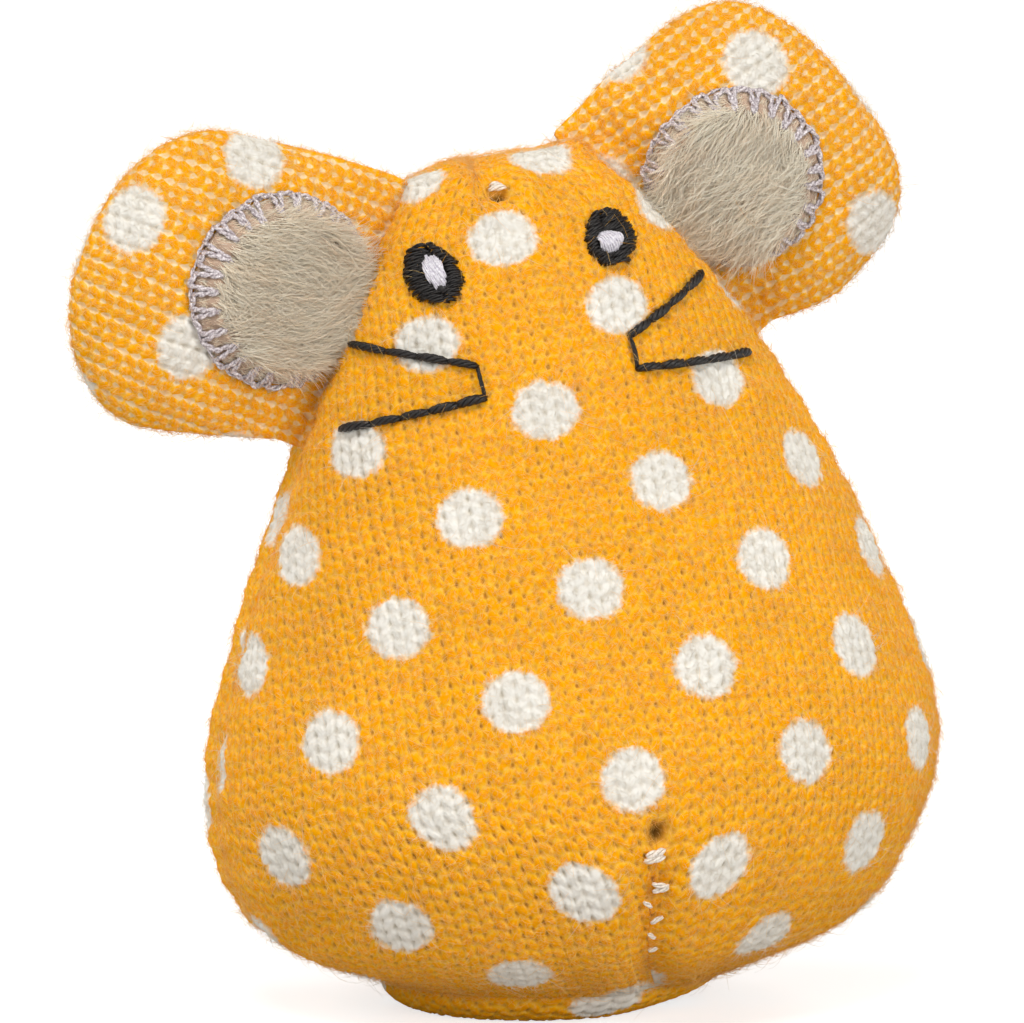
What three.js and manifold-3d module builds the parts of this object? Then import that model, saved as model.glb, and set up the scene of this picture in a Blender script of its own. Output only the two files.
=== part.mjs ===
// Stuffed catnip mouse: a knit pear on an oval base, two padded ears and an embroidered face.
// Millimetres, +Z up. It faces -Y, and the middle of its flat base is the origin.
import * as THREE from 'three';
import { mergeVertices } from 'three/addons/utils/BufferGeometryUtils.js';
import Module from 'manifold-3d';

// Cloth and clearances
const FABRIC = 1.2; // thickness of the knit jersey
const CLEARANCE = 0.3; // gap between pieces that touch
const SEAM_ALLOWANCE = 5; // jersey turned in along the side seams

// Body, as sections up its centre line: each rise is measured from the section below
const BASE_SEAM_RISE = 3;
const BASE_SEAM_WIDTH = 36;
const BASE_SEAM_FRONT = 15.5; // from the side seams to the front
const BASE_SEAM_BACK = 14.5; // from the side seams to the back
const BASE_ROUNDING = 3; // how far the base's edge draws in below its seam
const FLANK_RISE = 7;
const FLANK_WIDTH = 67;
const FLANK_FRONT = 26;
const FLANK_BACK = 24;
const BELLY_RISE = 14;
const BELLY_WIDTH = 78.4;
const BELLY_FRONT = 30.5;
const BELLY_BACK = 27.5;
const CHEST_RISE = 20;
const CHEST_WIDTH = 67.6;
const CHEST_FRONT = 25;
const CHEST_BACK = 23.5;
const CHEEK_RISE = 20;
const CHEEK_WIDTH = 50.4;
const CHEEK_FRONT = 17.5;
const CHEEK_BACK = 17;
const BROW_RISE = 14;
const BROW_WIDTH = 33.6;
const BROW_FRONT = 12.5;
const BROW_BACK = 12;
const CROWN_RISE = 9.8;
const CROWN_WIDTH = 19.5;
const CROWN_FRONT = 9.5;
const CROWN_BACK = 9.5;
const CROWN_RIDGE = 2.8; // thickness of the crown seam
const CROWN_DOME = 12; // height over which the head closes to that seam
const HEAD_LEAN = 12.5; // degrees that the crown leans to -X, on an even bend from the base
const BELLY_OVERHANG = 4; // how far the belly sags to +X over the middle of the base

// Ears, from the fold line along each side of the head
const EAR_FOOT = 0.5; // lower end of the ear's seam above the cheeks
const EAR_HEAD = 0.6; // upper end of the ear's seam below the crown
const EAR_REACH = 26;
const EAR_WIDTH = 33.5;
const EAR_WIDEST = 11; // from the fold line to the ear's widest and thickest place
const EAR_THICKNESS = 9;
const EAR_FOLD_RADIUS = 1.2; // rounded edge that turns on the fold line
const LEFT_EAR_DROOP = 2.6; // how far the lobe hangs towards its lower end
const RIGHT_EAR_DROOP = 0;
const EAR_ROUNDNESS = 2.3; // exponent of the lobe's outline, 2 is an ellipse
const EAR_RIM = 3; // sewn edge where the two faces meet
const EAR_TAB_DEPTH = 6; // the ear's own seam allowance, inside the head

// Plush patches and the zigzag round them
const PATCH_RADIUS = 9.8;
const PATCH_CENTRE = 6.6; // from the fold line
const PATCH_CUT = 0.8; // straight edge, from the fold line
const PATCH_EDGE = 0.7; // thickness where it is sewn down
const PATCH_PILE = 1.6; // more thickness in the middle
const ZIGZAG_PITCH = 2.2;
const ZIGZAG_OUT = 0.9; // beyond the patch's edge
const ZIGZAG_IN = 3.2; // inside the patch's edge
const ZIGZAG_THREAD = 0.66; // thread diameter
const ZIGZAG_TURN = 0.44; // width of each turn, as a share of the pitch

// Face and tacking threads, below the crown along the centre line
const EYE_SPACING = 18.4;
const EYE_DROP = 8.9;
const EYE_WIDTH = 5.2;
const EYE_HEIGHT = 6.3;
const EYE_RELIEF = 0.8; // how far the satin stitch stands up
const HIGHLIGHT_WIDTH = 2.3;
const HIGHLIGHT_HEIGHT = 3.4;
const WHISKER_THREAD = 1.2; // diameter in the middle of a stitch
const WHISKER_NECK = 0.7; // diameter between stitches
const WHISKER_STITCH = 2.8; // length of one backstitch
const WHISKER_ROOT = 8; // inner ends, from the centre line
const WHISKER_DROP = 18.4; // upper strand's inner end
const WHISKER_LINK = 3.2; // from the upper strand's inner end to the lower one's
const UPPER_WHISKER_RUN = 10.3;
const UPPER_WHISKER_RISE = 3.5;
const LOWER_WHISKER_RUN = 13.6;
const LOWER_WHISKER_FALL = 1.5;
const TACK_THREAD = 0.7; // diameter of the white thread
const FOREHEAD_TACK_DROP = 2;
const FOREHEAD_TACK_LENGTH = 3;
const DART_FOOT = 8; // lowest stitch, above the base seam
const DART_LENGTH = 11;
const DART_STITCH_WIDTH = 2.2;
const DART_STITCHES = 5;

// Filling
const SACHET_WIDTH = 28;
const SACHET_HEIGHT = 30;
const SACHET_THICKNESS = 10;
const SACHET_WALL = 0.5;
const SACHET_SEAL = 2.5; // welded edge
const SACHET_SQUARENESS = 6; // exponent of its outline, 2 is an ellipse
const SACHET_FOOT = 18; // lower edge above the base
const SACHET_HEADROOM = 4; // from its upper edge to where the stuffing is parted

// Facets
const BODY_SIDES = 32;
const EAR_SIDES = 20;
const PAD_SIDES = 20;
const THREAD_SIDES = 5;
const ROUND_END = THREE.MathUtils.degToRad(85); // where rings stop on a rounded end, short of its pole
const REACH = 400; // side of the cutting boxes, larger than the toy

const COLOURS = {
  jersey: '#f5af31',
  plush: '#c5b39d',
  zigzag: '#b7aeb8',
  black: '#17141a',
  highlight: '#d9d4e2',
  white: '#efe8dc',
  fibre: '#f2f0ea',
  pouch: '#dfe3da',
  catnip: '#6d7a45',
};

const wasm = await Module();
wasm.setup();

const SECTIONS = [
  { rise: BASE_SEAM_RISE, half: BASE_SEAM_WIDTH / 2, front: BASE_SEAM_FRONT, back: BASE_SEAM_BACK },
  { rise: FLANK_RISE, half: FLANK_WIDTH / 2, front: FLANK_FRONT, back: FLANK_BACK },
  { rise: BELLY_RISE, half: BELLY_WIDTH / 2, front: BELLY_FRONT, back: BELLY_BACK },
  { rise: CHEST_RISE, half: CHEST_WIDTH / 2, front: CHEST_FRONT, back: CHEST_BACK },
  { rise: CHEEK_RISE, half: CHEEK_WIDTH / 2, front: CHEEK_FRONT, back: CHEEK_BACK },
  { rise: BROW_RISE, half: BROW_WIDTH / 2, front: BROW_FRONT, back: BROW_BACK },
  { rise: CROWN_RISE, half: CROWN_WIDTH / 2, front: CROWN_FRONT, back: CROWN_BACK },
];
let height = 0;
for (const section of SECTIONS) {
  height += section.rise;
  section.height = height;
}
const CROWN = height;
const CHEEK = CROWN - CROWN_RISE - BROW_RISE;
const BELLY = BASE_SEAM_RISE + FLANK_RISE + BELLY_RISE;
const BEND_RADIUS = CROWN / THREE.MathUtils.degToRad(HEAD_LEAN);

// Whole numbers from 0 up to count
function steps(count) {
  return Array.from({ length: count }, (_, i) => i);
}

// Slope of one measure of the body at a section, from its neighbours
function slope(key, i) {
  const below = SECTIONS[Math.max(i - 1, 0)];
  const above = SECTIONS[Math.min(i + 1, SECTIONS.length - 1)];
  return (above[key] - below[key]) / (above.height - below.height);
}

// One measure of the body at a height, on a smooth curve through the sections
function measure(key, at) {
  const last = SECTIONS.length - 2;
  const found = SECTIONS.findIndex((section) => section.height > at) - 1;
  const i = found < 0 ? (at < SECTIONS[1].height ? 0 : last) : found;
  const below = SECTIONS[i];
  const above = SECTIONS[i + 1];
  const span = above.height - below.height;
  const t = THREE.MathUtils.clamp((at - below.height) / span, 0, 1);
  const rise = t * t * (3 - 2 * t);
  const leave = t * (1 - t) * (1 - t) * span * slope(key, i);
  const arrive = t * t * (t - 1) * span * slope(key, i + 1);
  return below[key] * (1 - rise) + above[key] * rise + leave + arrive;
}

// Half width, front and back of the body at a height, drawn in by an inset
function bodySection(at, inset = 0) {
  const up = THREE.MathUtils.clamp((at - CROWN + CROWN_DOME) / CROWN_DOME, 0, 1);
  const down = THREE.MathUtils.clamp(1 - at / BASE_SEAM_RISE, 0, 1);
  const dome = Math.sqrt(1 - up * up);
  const cut = inset + BASE_ROUNDING * (1 - Math.sqrt(1 - down * down));
  const ridge = CROWN_RIDGE / 2;
  return {
    half: measure('half', at) - cut,
    front: ridge + (measure('front', at) - ridge) * dome - cut,
    back: ridge + (measure('back', at) - ridge) * dome - cut,
  };
}

// A point of the upright body, moved by the sag of the belly and the even bend towards -X
function lean(x, y, at) {
  const below = 1 - THREE.MathUtils.clamp(at / BELLY, 0, 1);
  const turn = at / BEND_RADIUS;
  const out = BEND_RADIUS + x + BELLY_OVERHANG * (1 - below * below);
  return new THREE.Vector3(out * Math.cos(turn) - BEND_RADIUS, y, out * Math.sin(turn));
}

function bodyRing(at, inset) {
  const { half, front, back } = bodySection(at, inset);
  return steps(BODY_SIDES).map((i) => {
    const angle = (2 * Math.PI * i) / BODY_SIDES;
    const side = Math.sin(angle);
    return lean(half * Math.cos(angle), side * (side < 0 ? front : back), at);
  });
}

// A point on the front of the body, and one lifted off it along its normal
function bodyFront(x, at) {
  const { half, front } = bodySection(at);
  const across = THREE.MathUtils.clamp(x / half, -1, 1);
  return lean(x, -front * Math.sqrt(1 - across * across), at);
}

function bodyNormal(x, at) {
  const step = 0.05;
  const across = bodyFront(x + step, at).sub(bodyFront(x - step, at));
  const up = bodyFront(x, at + step).sub(bodyFront(x, at - step));
  return across.cross(up).normalize();
}

function overBody(x, at, lift) {
  return bodyFront(x, at).addScaledVector(bodyNormal(x, at), lift);
}

// Closed skin over rings of points; the ends are capped unless the rings close on themselves
function loft(rings, closed = false) {
  const count = rings[0].length;
  const points = rings.flat();
  const triangles = [];
  const joins = closed ? rings.length : rings.length - 1;
  for (const r of steps(joins)) {
    const above = ((r + 1) % rings.length) * count;
    for (const i of steps(count)) {
      const j = (i + 1) % count;
      triangles.push(r * count + i, r * count + j, above + j, r * count + i, above + j, above + i);
    }
  }
  if (!closed) {
    const first = points.length;
    const last = (rings.length - 1) * count;
    points.push(middle(rings[0]), middle(rings[rings.length - 1]));
    for (const i of steps(count)) {
      const j = (i + 1) % count;
      triangles.push(first, j, i, first + 1, last + i, last + j);
    }
  }
  const geometry = new THREE.BufferGeometry().setFromPoints(points);
  geometry.setIndex(triangles);
  return geometry;
}

function middle(points) {
  const sum = new THREE.Vector3();
  for (const point of points) {
    sum.add(point);
  }
  return sum.divideScalar(points.length);
}

function solid(geometry) {
  const bare = geometry.clone();
  bare.deleteAttribute('normal');
  bare.deleteAttribute('uv');
  const merged = mergeVertices(bare);
  const vertProperties = new Float32Array(merged.attributes.position.array);
  const triVerts = new Uint32Array(merged.index.array);
  return new wasm.Manifold(new wasm.Mesh({ numProp: 3, vertProperties, triVerts }));
}

function geometryOf(shape) {
  const { vertProperties, triVerts } = shape.getMesh();
  const geometry = new THREE.BufferGeometry();
  geometry.setAttribute('position', new THREE.BufferAttribute(vertProperties, 3));
  geometry.setIndex(new THREE.BufferAttribute(triVerts, 1));
  return geometry;
}

// Box between two corners
function block(low, high) {
  const size = high.clone().sub(low);
  const centre = low.clone().add(high).divideScalar(2);
  return new THREE.BoxGeometry(size.x, size.y, size.z).translate(centre.x, centre.y, centre.z);
}

// Everything between two heights, or between two depths
function layer(low, high) {
  return solid(block(new THREE.Vector3(-REACH, -REACH, low), new THREE.Vector3(REACH, REACH, high)));
}

function slice(front, back) {
  return solid(block(new THREE.Vector3(-REACH, front, -REACH), new THREE.Vector3(REACH, back, REACH)));
}

const FRONT_HALF = slice(-REACH, -CLEARANCE / 2);
const BACK_HALF = slice(CLEARANCE / 2, REACH);

// Heights of the body's rings between two heights, closer where the base and the crown round off
function bodyRows(low, high) {
  const baseRows = 3;
  const domeRows = 5;
  const evenRows = 12;
  const quarter = Math.PI / 2;
  const dome = CROWN - CROWN_DOME;
  const rows = [
    ...steps(baseRows).map((i) => BASE_SEAM_RISE * (1 - Math.cos((quarter * i) / baseRows))),
    ...steps(evenRows).map((i) => BASE_SEAM_RISE + ((dome - BASE_SEAM_RISE) * i) / evenRows),
    ...steps(domeRows).map((i) => dome + CROWN_DOME * Math.sin((quarter * i) / domeRows)),
  ];
  return [low, ...rows.filter((row) => row > low + CLEARANCE && row < high - CLEARANCE), high];
}

function bodySolid(inset, low, high) {
  return solid(loft(bodyRows(low, high).map((at) => bodyRing(at, inset))));
}

// The straight line along the head where an ear folds, and the directions of the ear on it
function earFrame(side) {
  const seamPoint = (at) => lean(side * bodySection(at).half, 0, at);
  const footHeight = CHEEK + EAR_FOOT;
  const headHeight = CROWN - EAR_HEAD;
  const foot = seamPoint(footHeight);
  const head = seamPoint(headHeight);
  const along = head.clone().sub(foot);
  const outward = new THREE.Vector3(side * along.z, 0, -side * along.x).normalize();
  const samples = 24;
  const bulges = steps(samples).map((i) => {
    const at = THREE.MathUtils.lerp(footHeight, headHeight, i / samples);
    return seamPoint(at).sub(foot).dot(outward);
  });
  const bulge = Math.max(...bulges);
  const pivot = foot.clone().add(head).divideScalar(2);
  pivot.addScaledVector(outward, bulge + CLEARANCE + EAR_FOLD_RADIUS);
  return { pivot, turn: Math.atan2(outward.x, outward.z), seam: along.length() };
}

// Half width, half thickness and middle of an ear at a distance from the fold line
function earSection(frame, out, side) {
  const wide = EAR_WIDTH / 2;
  const thick = EAR_THICKNESS / 2;
  const base = frame.seam / 2;
  const near = THREE.MathUtils.clamp(out / EAR_WIDEST, 0, 1);
  const far = THREE.MathUtils.clamp((out - EAR_WIDEST) / (EAR_REACH - EAR_WIDEST), 0, 1);
  const droop = side < 0 ? -LEFT_EAR_DROOP : RIGHT_EAR_DROOP;
  const swell = Math.sin((Math.PI / 2) * near);
  const close = (1 - far ** EAR_ROUNDNESS) ** (1 / EAR_ROUNDNESS);
  const fold = out < 0 ? Math.sqrt(EAR_FOLD_RADIUS ** 2 - out ** 2) : EAR_FOLD_RADIUS;
  return {
    half: (base + (wide - base) * swell) * close,
    thick: (fold + (thick - EAR_FOLD_RADIUS) * swell) * close,
    middle: droop * near,
  };
}

function earSolid(frame, side, rows, rim, face) {
  const rings = rows.map((out) => {
    const section = earSection(frame, out, side);
    return steps(EAR_SIDES).map((i) => {
      const angle = (2 * Math.PI * i) / EAR_SIDES;
      const x = section.middle + (section.half - rim) * Math.cos(angle);
      return new THREE.Vector3(x, (section.thick - face) * Math.sin(angle), out);
    });
  });
  return solid(loft(rings));
}

// Distances of an ear's rings from the fold line, rounded off at the fold and at the tip
function earRows(low, tipAngle) {
  const nearRows = 5;
  const tipRows = 6;
  const near = steps(nearRows).map((i) => (EAR_WIDEST * i) / nearRows);
  const tip = steps(tipRows + 1).map((i) => {
    return EAR_WIDEST + (EAR_REACH - EAR_WIDEST) * Math.sin((tipAngle * i) / tipRows);
  });
  return [low, ...near.filter((row) => row > low + CLEARANCE), ...tip];
}

// Depth of an ear's front face
function earFace(frame, side, x, out) {
  const section = earSection(frame, out, side);
  const across = THREE.MathUtils.clamp((x - section.middle) / section.half, -1, 1);
  return -section.thick * Math.sqrt(1 - across * across);
}

// The ear's seam allowance between the body panels, grown by a margin, in the ear's own frame
function earTab(frame, margin) {
  const half = frame.seam / 2 - EAR_RIM + margin;
  const top = -EAR_FOLD_RADIUS - CLEARANCE;
  const low = new THREE.Vector3(-half, -FABRIC - margin, top - EAR_TAB_DEPTH - margin);
  const high = new THREE.Vector3(half, FABRIC + margin, top + margin);
  return block(low, high);
}

// Distance from the patch's middle to its edge: a circle with its foot cut straight
function patchEdge(angle) {
  const down = -Math.sin(angle);
  const cut = PATCH_CENTRE - PATCH_CUT;
  return down * PATCH_RADIUS > cut ? cut / down : PATCH_RADIUS;
}

function patchThickness(share) {
  return PATCH_EDGE + PATCH_PILE * (1 - share * share);
}

function overEar(frame, side, angle, radius, lift) {
  const x = radius * Math.cos(angle);
  const out = PATCH_CENTRE + radius * Math.sin(angle);
  return new THREE.Vector3(x, earFace(frame, side, x, out) - lift, out);
}

function patchGeometry(frame, side) {
  const ringCount = 3;
  const shares = steps(ringCount).map((i) => (i + 1) / ringCount);
  const ring = (share, lift) => steps(PAD_SIDES).map((i) => {
    const angle = (2 * Math.PI * i) / PAD_SIDES;
    return overEar(frame, side, angle, share * patchEdge(angle), lift);
  });
  const under = shares.map((share) => ring(share, CLEARANCE));
  const over = shares.map((share) => ring(share, CLEARANCE + patchThickness(share)));
  return loft([...under, ...over.reverse()]);
}

// Round thread along points, each with the direction that faces away from the cloth
function thread(points, normals, radii) {
  const last = points.length - 1;
  const rings = points.map((point, i) => {
    const ahead = points[Math.min(i + 1, last)].clone().sub(points[Math.max(i - 1, 0)]).normalize();
    const across = normals[i].clone().cross(ahead).normalize();
    const up = ahead.clone().cross(across);
    return steps(THREAD_SIDES).map((k) => {
      const angle = (2 * Math.PI * k) / THREAD_SIDES;
      const shift = across.clone().multiplyScalar(radii[i] * Math.cos(angle));
      return point.clone().add(shift).addScaledVector(up, radii[i] * Math.sin(angle));
    });
  });
  return loft(rings);
}

// Zigzag over the patch's round edge, as one unbroken thread
function zigzagGeometry(frame, side) {
  const radius = ZIGZAG_THREAD / 2;
  const tilt = Math.asin((PATCH_CENTRE - PATCH_CUT - ZIGZAG_OUT) / PATCH_RADIUS);
  const arc = Math.PI + 2 * tilt;
  const count = Math.floor((arc * PATCH_RADIUS) / ZIGZAG_PITCH);
  const pitch = arc / count;
  const flat = ZIGZAG_TURN / 2;
  const overEdge = 2 * CLEARANCE + patchThickness(1);
  const overPile = 2 * CLEARANCE + patchThickness(1 - ZIGZAG_IN / PATCH_RADIUS);
  const turns = [
    { place: -flat, reach: ZIGZAG_OUT, lift: CLEARANCE },
    { place: flat, reach: ZIGZAG_OUT, lift: CLEARANCE },
    { place: 0.25, reach: 0, lift: overEdge },
    { place: 0.5 - flat, reach: -ZIGZAG_IN, lift: overPile },
    { place: 0.5 + flat, reach: -ZIGZAG_IN, lift: overPile },
    { place: 0.75, reach: 0, lift: overEdge },
  ];
  const points = steps(count).flatMap((i) => turns.map(({ place, reach, lift }) => {
    const angle = (i + 0.5 + place) * pitch - tilt;
    return overEar(frame, side, angle, PATCH_RADIUS + reach, lift + radius);
  }));
  const normals = points.map(() => new THREE.Vector3(0, -1, 0));
  return thread(points, normals, points.map(() => radius));
}

// Raised pad of satin stitch on the front of the body, a ring if it has a hole
function satinPad(x, at, outer, hole) {
  const ring = (share, lift) => steps(PAD_SIDES).map((i) => {
    const angle = (2 * Math.PI * i) / PAD_SIDES;
    const across = THREE.MathUtils.lerp(hole.width, outer.width, share) / 2;
    const up = THREE.MathUtils.lerp(hole.height, outer.height, share) / 2;
    return overBody(x + across * Math.cos(angle), at + up * Math.sin(angle), lift);
  });
  const low = CLEARANCE;
  const high = CLEARANCE + EYE_RELIEF;
  const rounding = 0.2; // share of the pad's width over which its edges round off
  const rim = ring(1, (low + high) / 2);
  const under = [ring(rounding / 2, low), ring(1 - rounding / 2, low)];
  const over = [ring(1 - rounding, high), ring(rounding, high)];
  return loft([...under, rim, ...over], hole.width > 0);
}

// A thread laid on the front of the body through given places, with stitches of even length
function laidThread(places, length, middleWidth, neckWidth) {
  const path = new THREE.CurvePath();
  for (const i of steps(places.length - 1)) {
    path.add(new THREE.LineCurve(places[i], places[i + 1]));
  }
  const perStitch = 4;
  const count = Math.max(1, Math.round(path.getLength() / length)) * perStitch;
  const spots = steps(count + 1).map((i) => path.getPointAt(i / count));
  const radii = steps(count + 1).map((i) => {
    const bulge = Math.sin((Math.PI * (i % perStitch)) / perStitch);
    return THREE.MathUtils.lerp(neckWidth, middleWidth, bulge) / 2;
  });
  const lift = CLEARANCE + middleWidth / 2;
  const points = spots.map((spot) => overBody(spot.x, spot.y, lift));
  const normals = spots.map((spot) => bodyNormal(spot.x, spot.y));
  return thread(points, normals, radii);
}

function whiskerGeometry(side) {
  const rootHeight = CROWN - WHISKER_DROP;
  const linkHeight = rootHeight - WHISKER_LINK;
  const places = [
    new THREE.Vector2(side * (WHISKER_ROOT + UPPER_WHISKER_RUN), rootHeight + UPPER_WHISKER_RISE),
    new THREE.Vector2(side * WHISKER_ROOT, rootHeight),
    new THREE.Vector2(side * WHISKER_ROOT, linkHeight),
    new THREE.Vector2(side * (WHISKER_ROOT + LOWER_WHISKER_RUN), linkHeight - LOWER_WHISKER_FALL),
  ];
  return laidThread(places, WHISKER_STITCH, WHISKER_THREAD, WHISKER_NECK);
}

function dartGeometry() {
  const foot = BASE_SEAM_RISE + DART_FOOT;
  const places = steps(DART_STITCHES + 1).map((i) => {
    const side = i % 2 === 0 ? -1 : 1;
    return new THREE.Vector2((side * DART_STITCH_WIDTH) / 2, foot + (DART_LENGTH * i) / DART_STITCHES);
  });
  return laidThread(places, DART_STITCH_WIDTH, TACK_THREAD, TACK_THREAD);
}

function foreheadGeometry() {
  const half = FOREHEAD_TACK_LENGTH / 2;
  const at = CROWN - FOREHEAD_TACK_DROP;
  const places = [new THREE.Vector2(-half, at), new THREE.Vector2(half, at)];
  return laidThread(places, FOREHEAD_TACK_LENGTH, TACK_THREAD, TACK_THREAD / 2);
}

// Flat pillow of the catnip sachet, drawn in at its welded edge and through its thickness
function sachetSolid(edge, wall) {
  const rowCount = 9;
  const half = SACHET_HEIGHT / 2 - edge;
  const rings = steps(rowCount).map((i) => {
    const up = Math.sin(ROUND_END * ((2 * i) / (rowCount - 1) - 1));
    const across = (SACHET_WIDTH / 2 - edge) * (1 - up ** SACHET_SQUARENESS) ** (2 / SACHET_SQUARENESS);
    const thick = (SACHET_THICKNESS / 2 - wall) * Math.sqrt(1 - up * up);
    return steps(EAR_SIDES).map((k) => {
      const angle = (2 * Math.PI * k) / EAR_SIDES;
      const z = SACHET_FOOT + SACHET_HEIGHT / 2 + half * up;
      return new THREE.Vector3(across * Math.cos(angle), thick * Math.sin(angle), z);
    });
  });
  return solid(loft(rings));
}

// Room for the sachet in the stuffing, open at the top
function sachetRoom(top) {
  const foot = SACHET_FOOT - CLEARANCE;
  const rings = [foot, top + CLEARANCE].map((z) => steps(EAR_SIDES).map((k) => {
    const angle = (2 * Math.PI * k) / EAR_SIDES;
    const x = (SACHET_WIDTH / 2 + CLEARANCE) * Math.cos(angle);
    return new THREE.Vector3(x, (SACHET_THICKNESS / 2 + CLEARANCE) * Math.sin(angle), z);
  }));
  return solid(loft(rings));
}

function material(colour) {
  return new THREE.MeshStandardMaterial({ color: colour, roughness: 0.9, metalness: 0 });
}

function addPiece(group, name, geometry, colour) {
  const shaded = geometry.clone();
  shaded.computeVertexNormals();
  const mesh = new THREE.Mesh(shaded, material(colour));
  mesh.name = name;
  group.add(mesh);
}

// Ear tabs as solids in the body's frame
function tabRoom(frame) {
  const matrix = new THREE.Matrix4().makeRotationY(frame.turn).setPosition(frame.pivot);
  return solid(earTab(frame, CLEARANCE).applyMatrix4(matrix));
}

// Jersey panels, stuffing and sachet
function buildBody(group, frames) {
  const outer = bodySolid(0, 0, CROWN);
  const lining = bodySolid(FABRIC, FABRIC, CROWN - 2 * FABRIC);
  const core = bodySolid(SEAM_ALLOWANCE, FABRIC, CROWN - SEAM_ALLOWANCE);
  const rooms = frames.map((frame) => tabRoom(frame));
  const seam = BASE_SEAM_RISE;
  const above = layer(seam + CLEARANCE / 2, REACH);
  const below = layer(-REACH, seam - CLEARANCE / 2);
  const turnedIn = slice(-CLEARANCE / 2 - FABRIC, CLEARANCE / 2 + FABRIC);
  const skin = outer.subtract(lining);
  const cloth = skin.add(outer.subtract(core).intersect(turnedIn)).intersect(above);
  const panels = cloth.subtract(rooms[0]).subtract(rooms[1]);
  addPiece(group, 'front_panel', geometryOf(panels.intersect(FRONT_HALF)), COLOURS.jersey);
  addPiece(group, 'back_panel', geometryOf(panels.intersect(BACK_HALF)), COLOURS.jersey);
  addPiece(group, 'base_panel', geometryOf(skin.intersect(below)), COLOURS.jersey);

  const inset = FABRIC + CLEARANCE;
  const allowanceRoom = outer
    .subtract(bodySolid(SEAM_ALLOWANCE + CLEARANCE, FABRIC, CROWN - SEAM_ALLOWANCE - CLEARANCE))
    .intersect(slice(-CLEARANCE - inset, CLEARANCE + inset));
  const parting = SACHET_FOOT + SACHET_HEIGHT + SACHET_HEADROOM;
  const fibre = bodySolid(inset, inset, CROWN - 2 * inset)
    .subtract(allowanceRoom)
    .subtract(rooms[0])
    .subtract(rooms[1]);
  const low = fibre.intersect(layer(-REACH, parting - CLEARANCE / 2)).subtract(sachetRoom(parting));
  addPiece(group, 'body_stuffing', geometryOf(low), COLOURS.fibre);
  const high = fibre.intersect(layer(parting + CLEARANCE / 2, REACH));
  addPiece(group, 'head_stuffing', geometryOf(high), COLOURS.fibre);

  const pouch = sachetSolid(0, 0).subtract(sachetSolid(SACHET_SEAL, SACHET_WALL));
  addPiece(group, 'sachet_front', geometryOf(pouch.intersect(FRONT_HALF)), COLOURS.pouch);
  addPiece(group, 'sachet_back', geometryOf(pouch.intersect(BACK_HALF)), COLOURS.pouch);
  const leaf = sachetSolid(SACHET_SEAL + CLEARANCE, SACHET_WALL + CLEARANCE);
  addPiece(group, 'catnip_fill', geometryOf(leaf), COLOURS.catnip);
}

// Embroidery and tacking on the front panel
function buildFace(group) {
  const eyeHeight = CROWN - EYE_DROP;
  const outer = { width: EYE_WIDTH, height: EYE_HEIGHT };
  const hole = { width: HIGHLIGHT_WIDTH + 2 * CLEARANCE, height: HIGHLIGHT_HEIGHT + 2 * CLEARANCE };
  const highlight = { width: HIGHLIGHT_WIDTH, height: HIGHLIGHT_HEIGHT };
  const none = { width: 0, height: 0 };
  for (const [name, side] of [['left', -1], ['right', 1]]) {
    const x = (side * EYE_SPACING) / 2;
    addPiece(group, `${name}_eye_ring`, satinPad(x, eyeHeight, outer, hole), COLOURS.black);
    addPiece(group, `${name}_eye_highlight`, satinPad(x, eyeHeight, highlight, none), COLOURS.highlight);
    addPiece(group, `${name}_whisker`, whiskerGeometry(side), COLOURS.black);
  }
  addPiece(group, 'belly_dart_thread', dartGeometry(), COLOURS.white);
  addPiece(group, 'forehead_thread', foreheadGeometry(), COLOURS.white);
}

// One ear in its own frame: X along the fold line, Z outward, -Y to the front
function buildEar(root, name, side, frame) {
  const ear = new THREE.Group();
  ear.name = `${name}_ear`;
  ear.position.copy(frame.pivot);
  ear.rotation.y = frame.turn;
  root.add(ear);
  const foldFoot = -EAR_FOLD_RADIUS * Math.sin(ROUND_END);
  const outer = earSolid(frame, side, earRows(foldFoot, ROUND_END), 0, 0);
  const hollowEnd = Math.asin((EAR_REACH - EAR_RIM - EAR_WIDEST) / (EAR_REACH - EAR_WIDEST));
  const lining = earSolid(frame, side, earRows(EAR_RIM, hollowEnd), EAR_RIM, FABRIC);
  const skin = outer.subtract(lining);
  addPiece(ear, `${name}_ear_front`, geometryOf(skin.intersect(FRONT_HALF)), COLOURS.jersey);
  addPiece(ear, `${name}_ear_back`, geometryOf(skin.intersect(BACK_HALF)), COLOURS.jersey);
  const inset = EAR_RIM + CLEARANCE;
  const padEnd = Math.asin((EAR_REACH - inset - EAR_WIDEST) / (EAR_REACH - EAR_WIDEST));
  const padding = earSolid(frame, side, earRows(inset, padEnd), inset, FABRIC + CLEARANCE);
  addPiece(ear, `${name}_ear_padding`, geometryOf(padding), COLOURS.fibre);
  addPiece(ear, `${name}_ear_patch`, patchGeometry(frame, side), COLOURS.plush);
  addPiece(ear, `${name}_patch_stitching`, zigzagGeometry(frame, side), COLOURS.zigzag, 0.5);
  addPiece(ear, `${name}_ear_tab`, earTab(frame, 0), COLOURS.jersey);
}

const mouse = new THREE.Group();
const leftFrame = earFrame(-1);
const rightFrame = earFrame(1);
buildBody(mouse, [leftFrame, rightFrame]);
buildFace(mouse);
buildEar(mouse, 'left', -1, leftFrame);
buildEar(mouse, 'right', 1, rightFrame);

export default mouse;
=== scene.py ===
"""Looks of the stuffed catnip mouse: knit panels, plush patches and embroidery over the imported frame.

Sizes are in millimetres, and meshes are scaled to metres as they are made. The body's sections are the
part's own. The ears, the face and the threads follow the photo more closely than the part does.
"""
import math

import bpy
import numpy as np
from mathutils import Matrix, Vector


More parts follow.
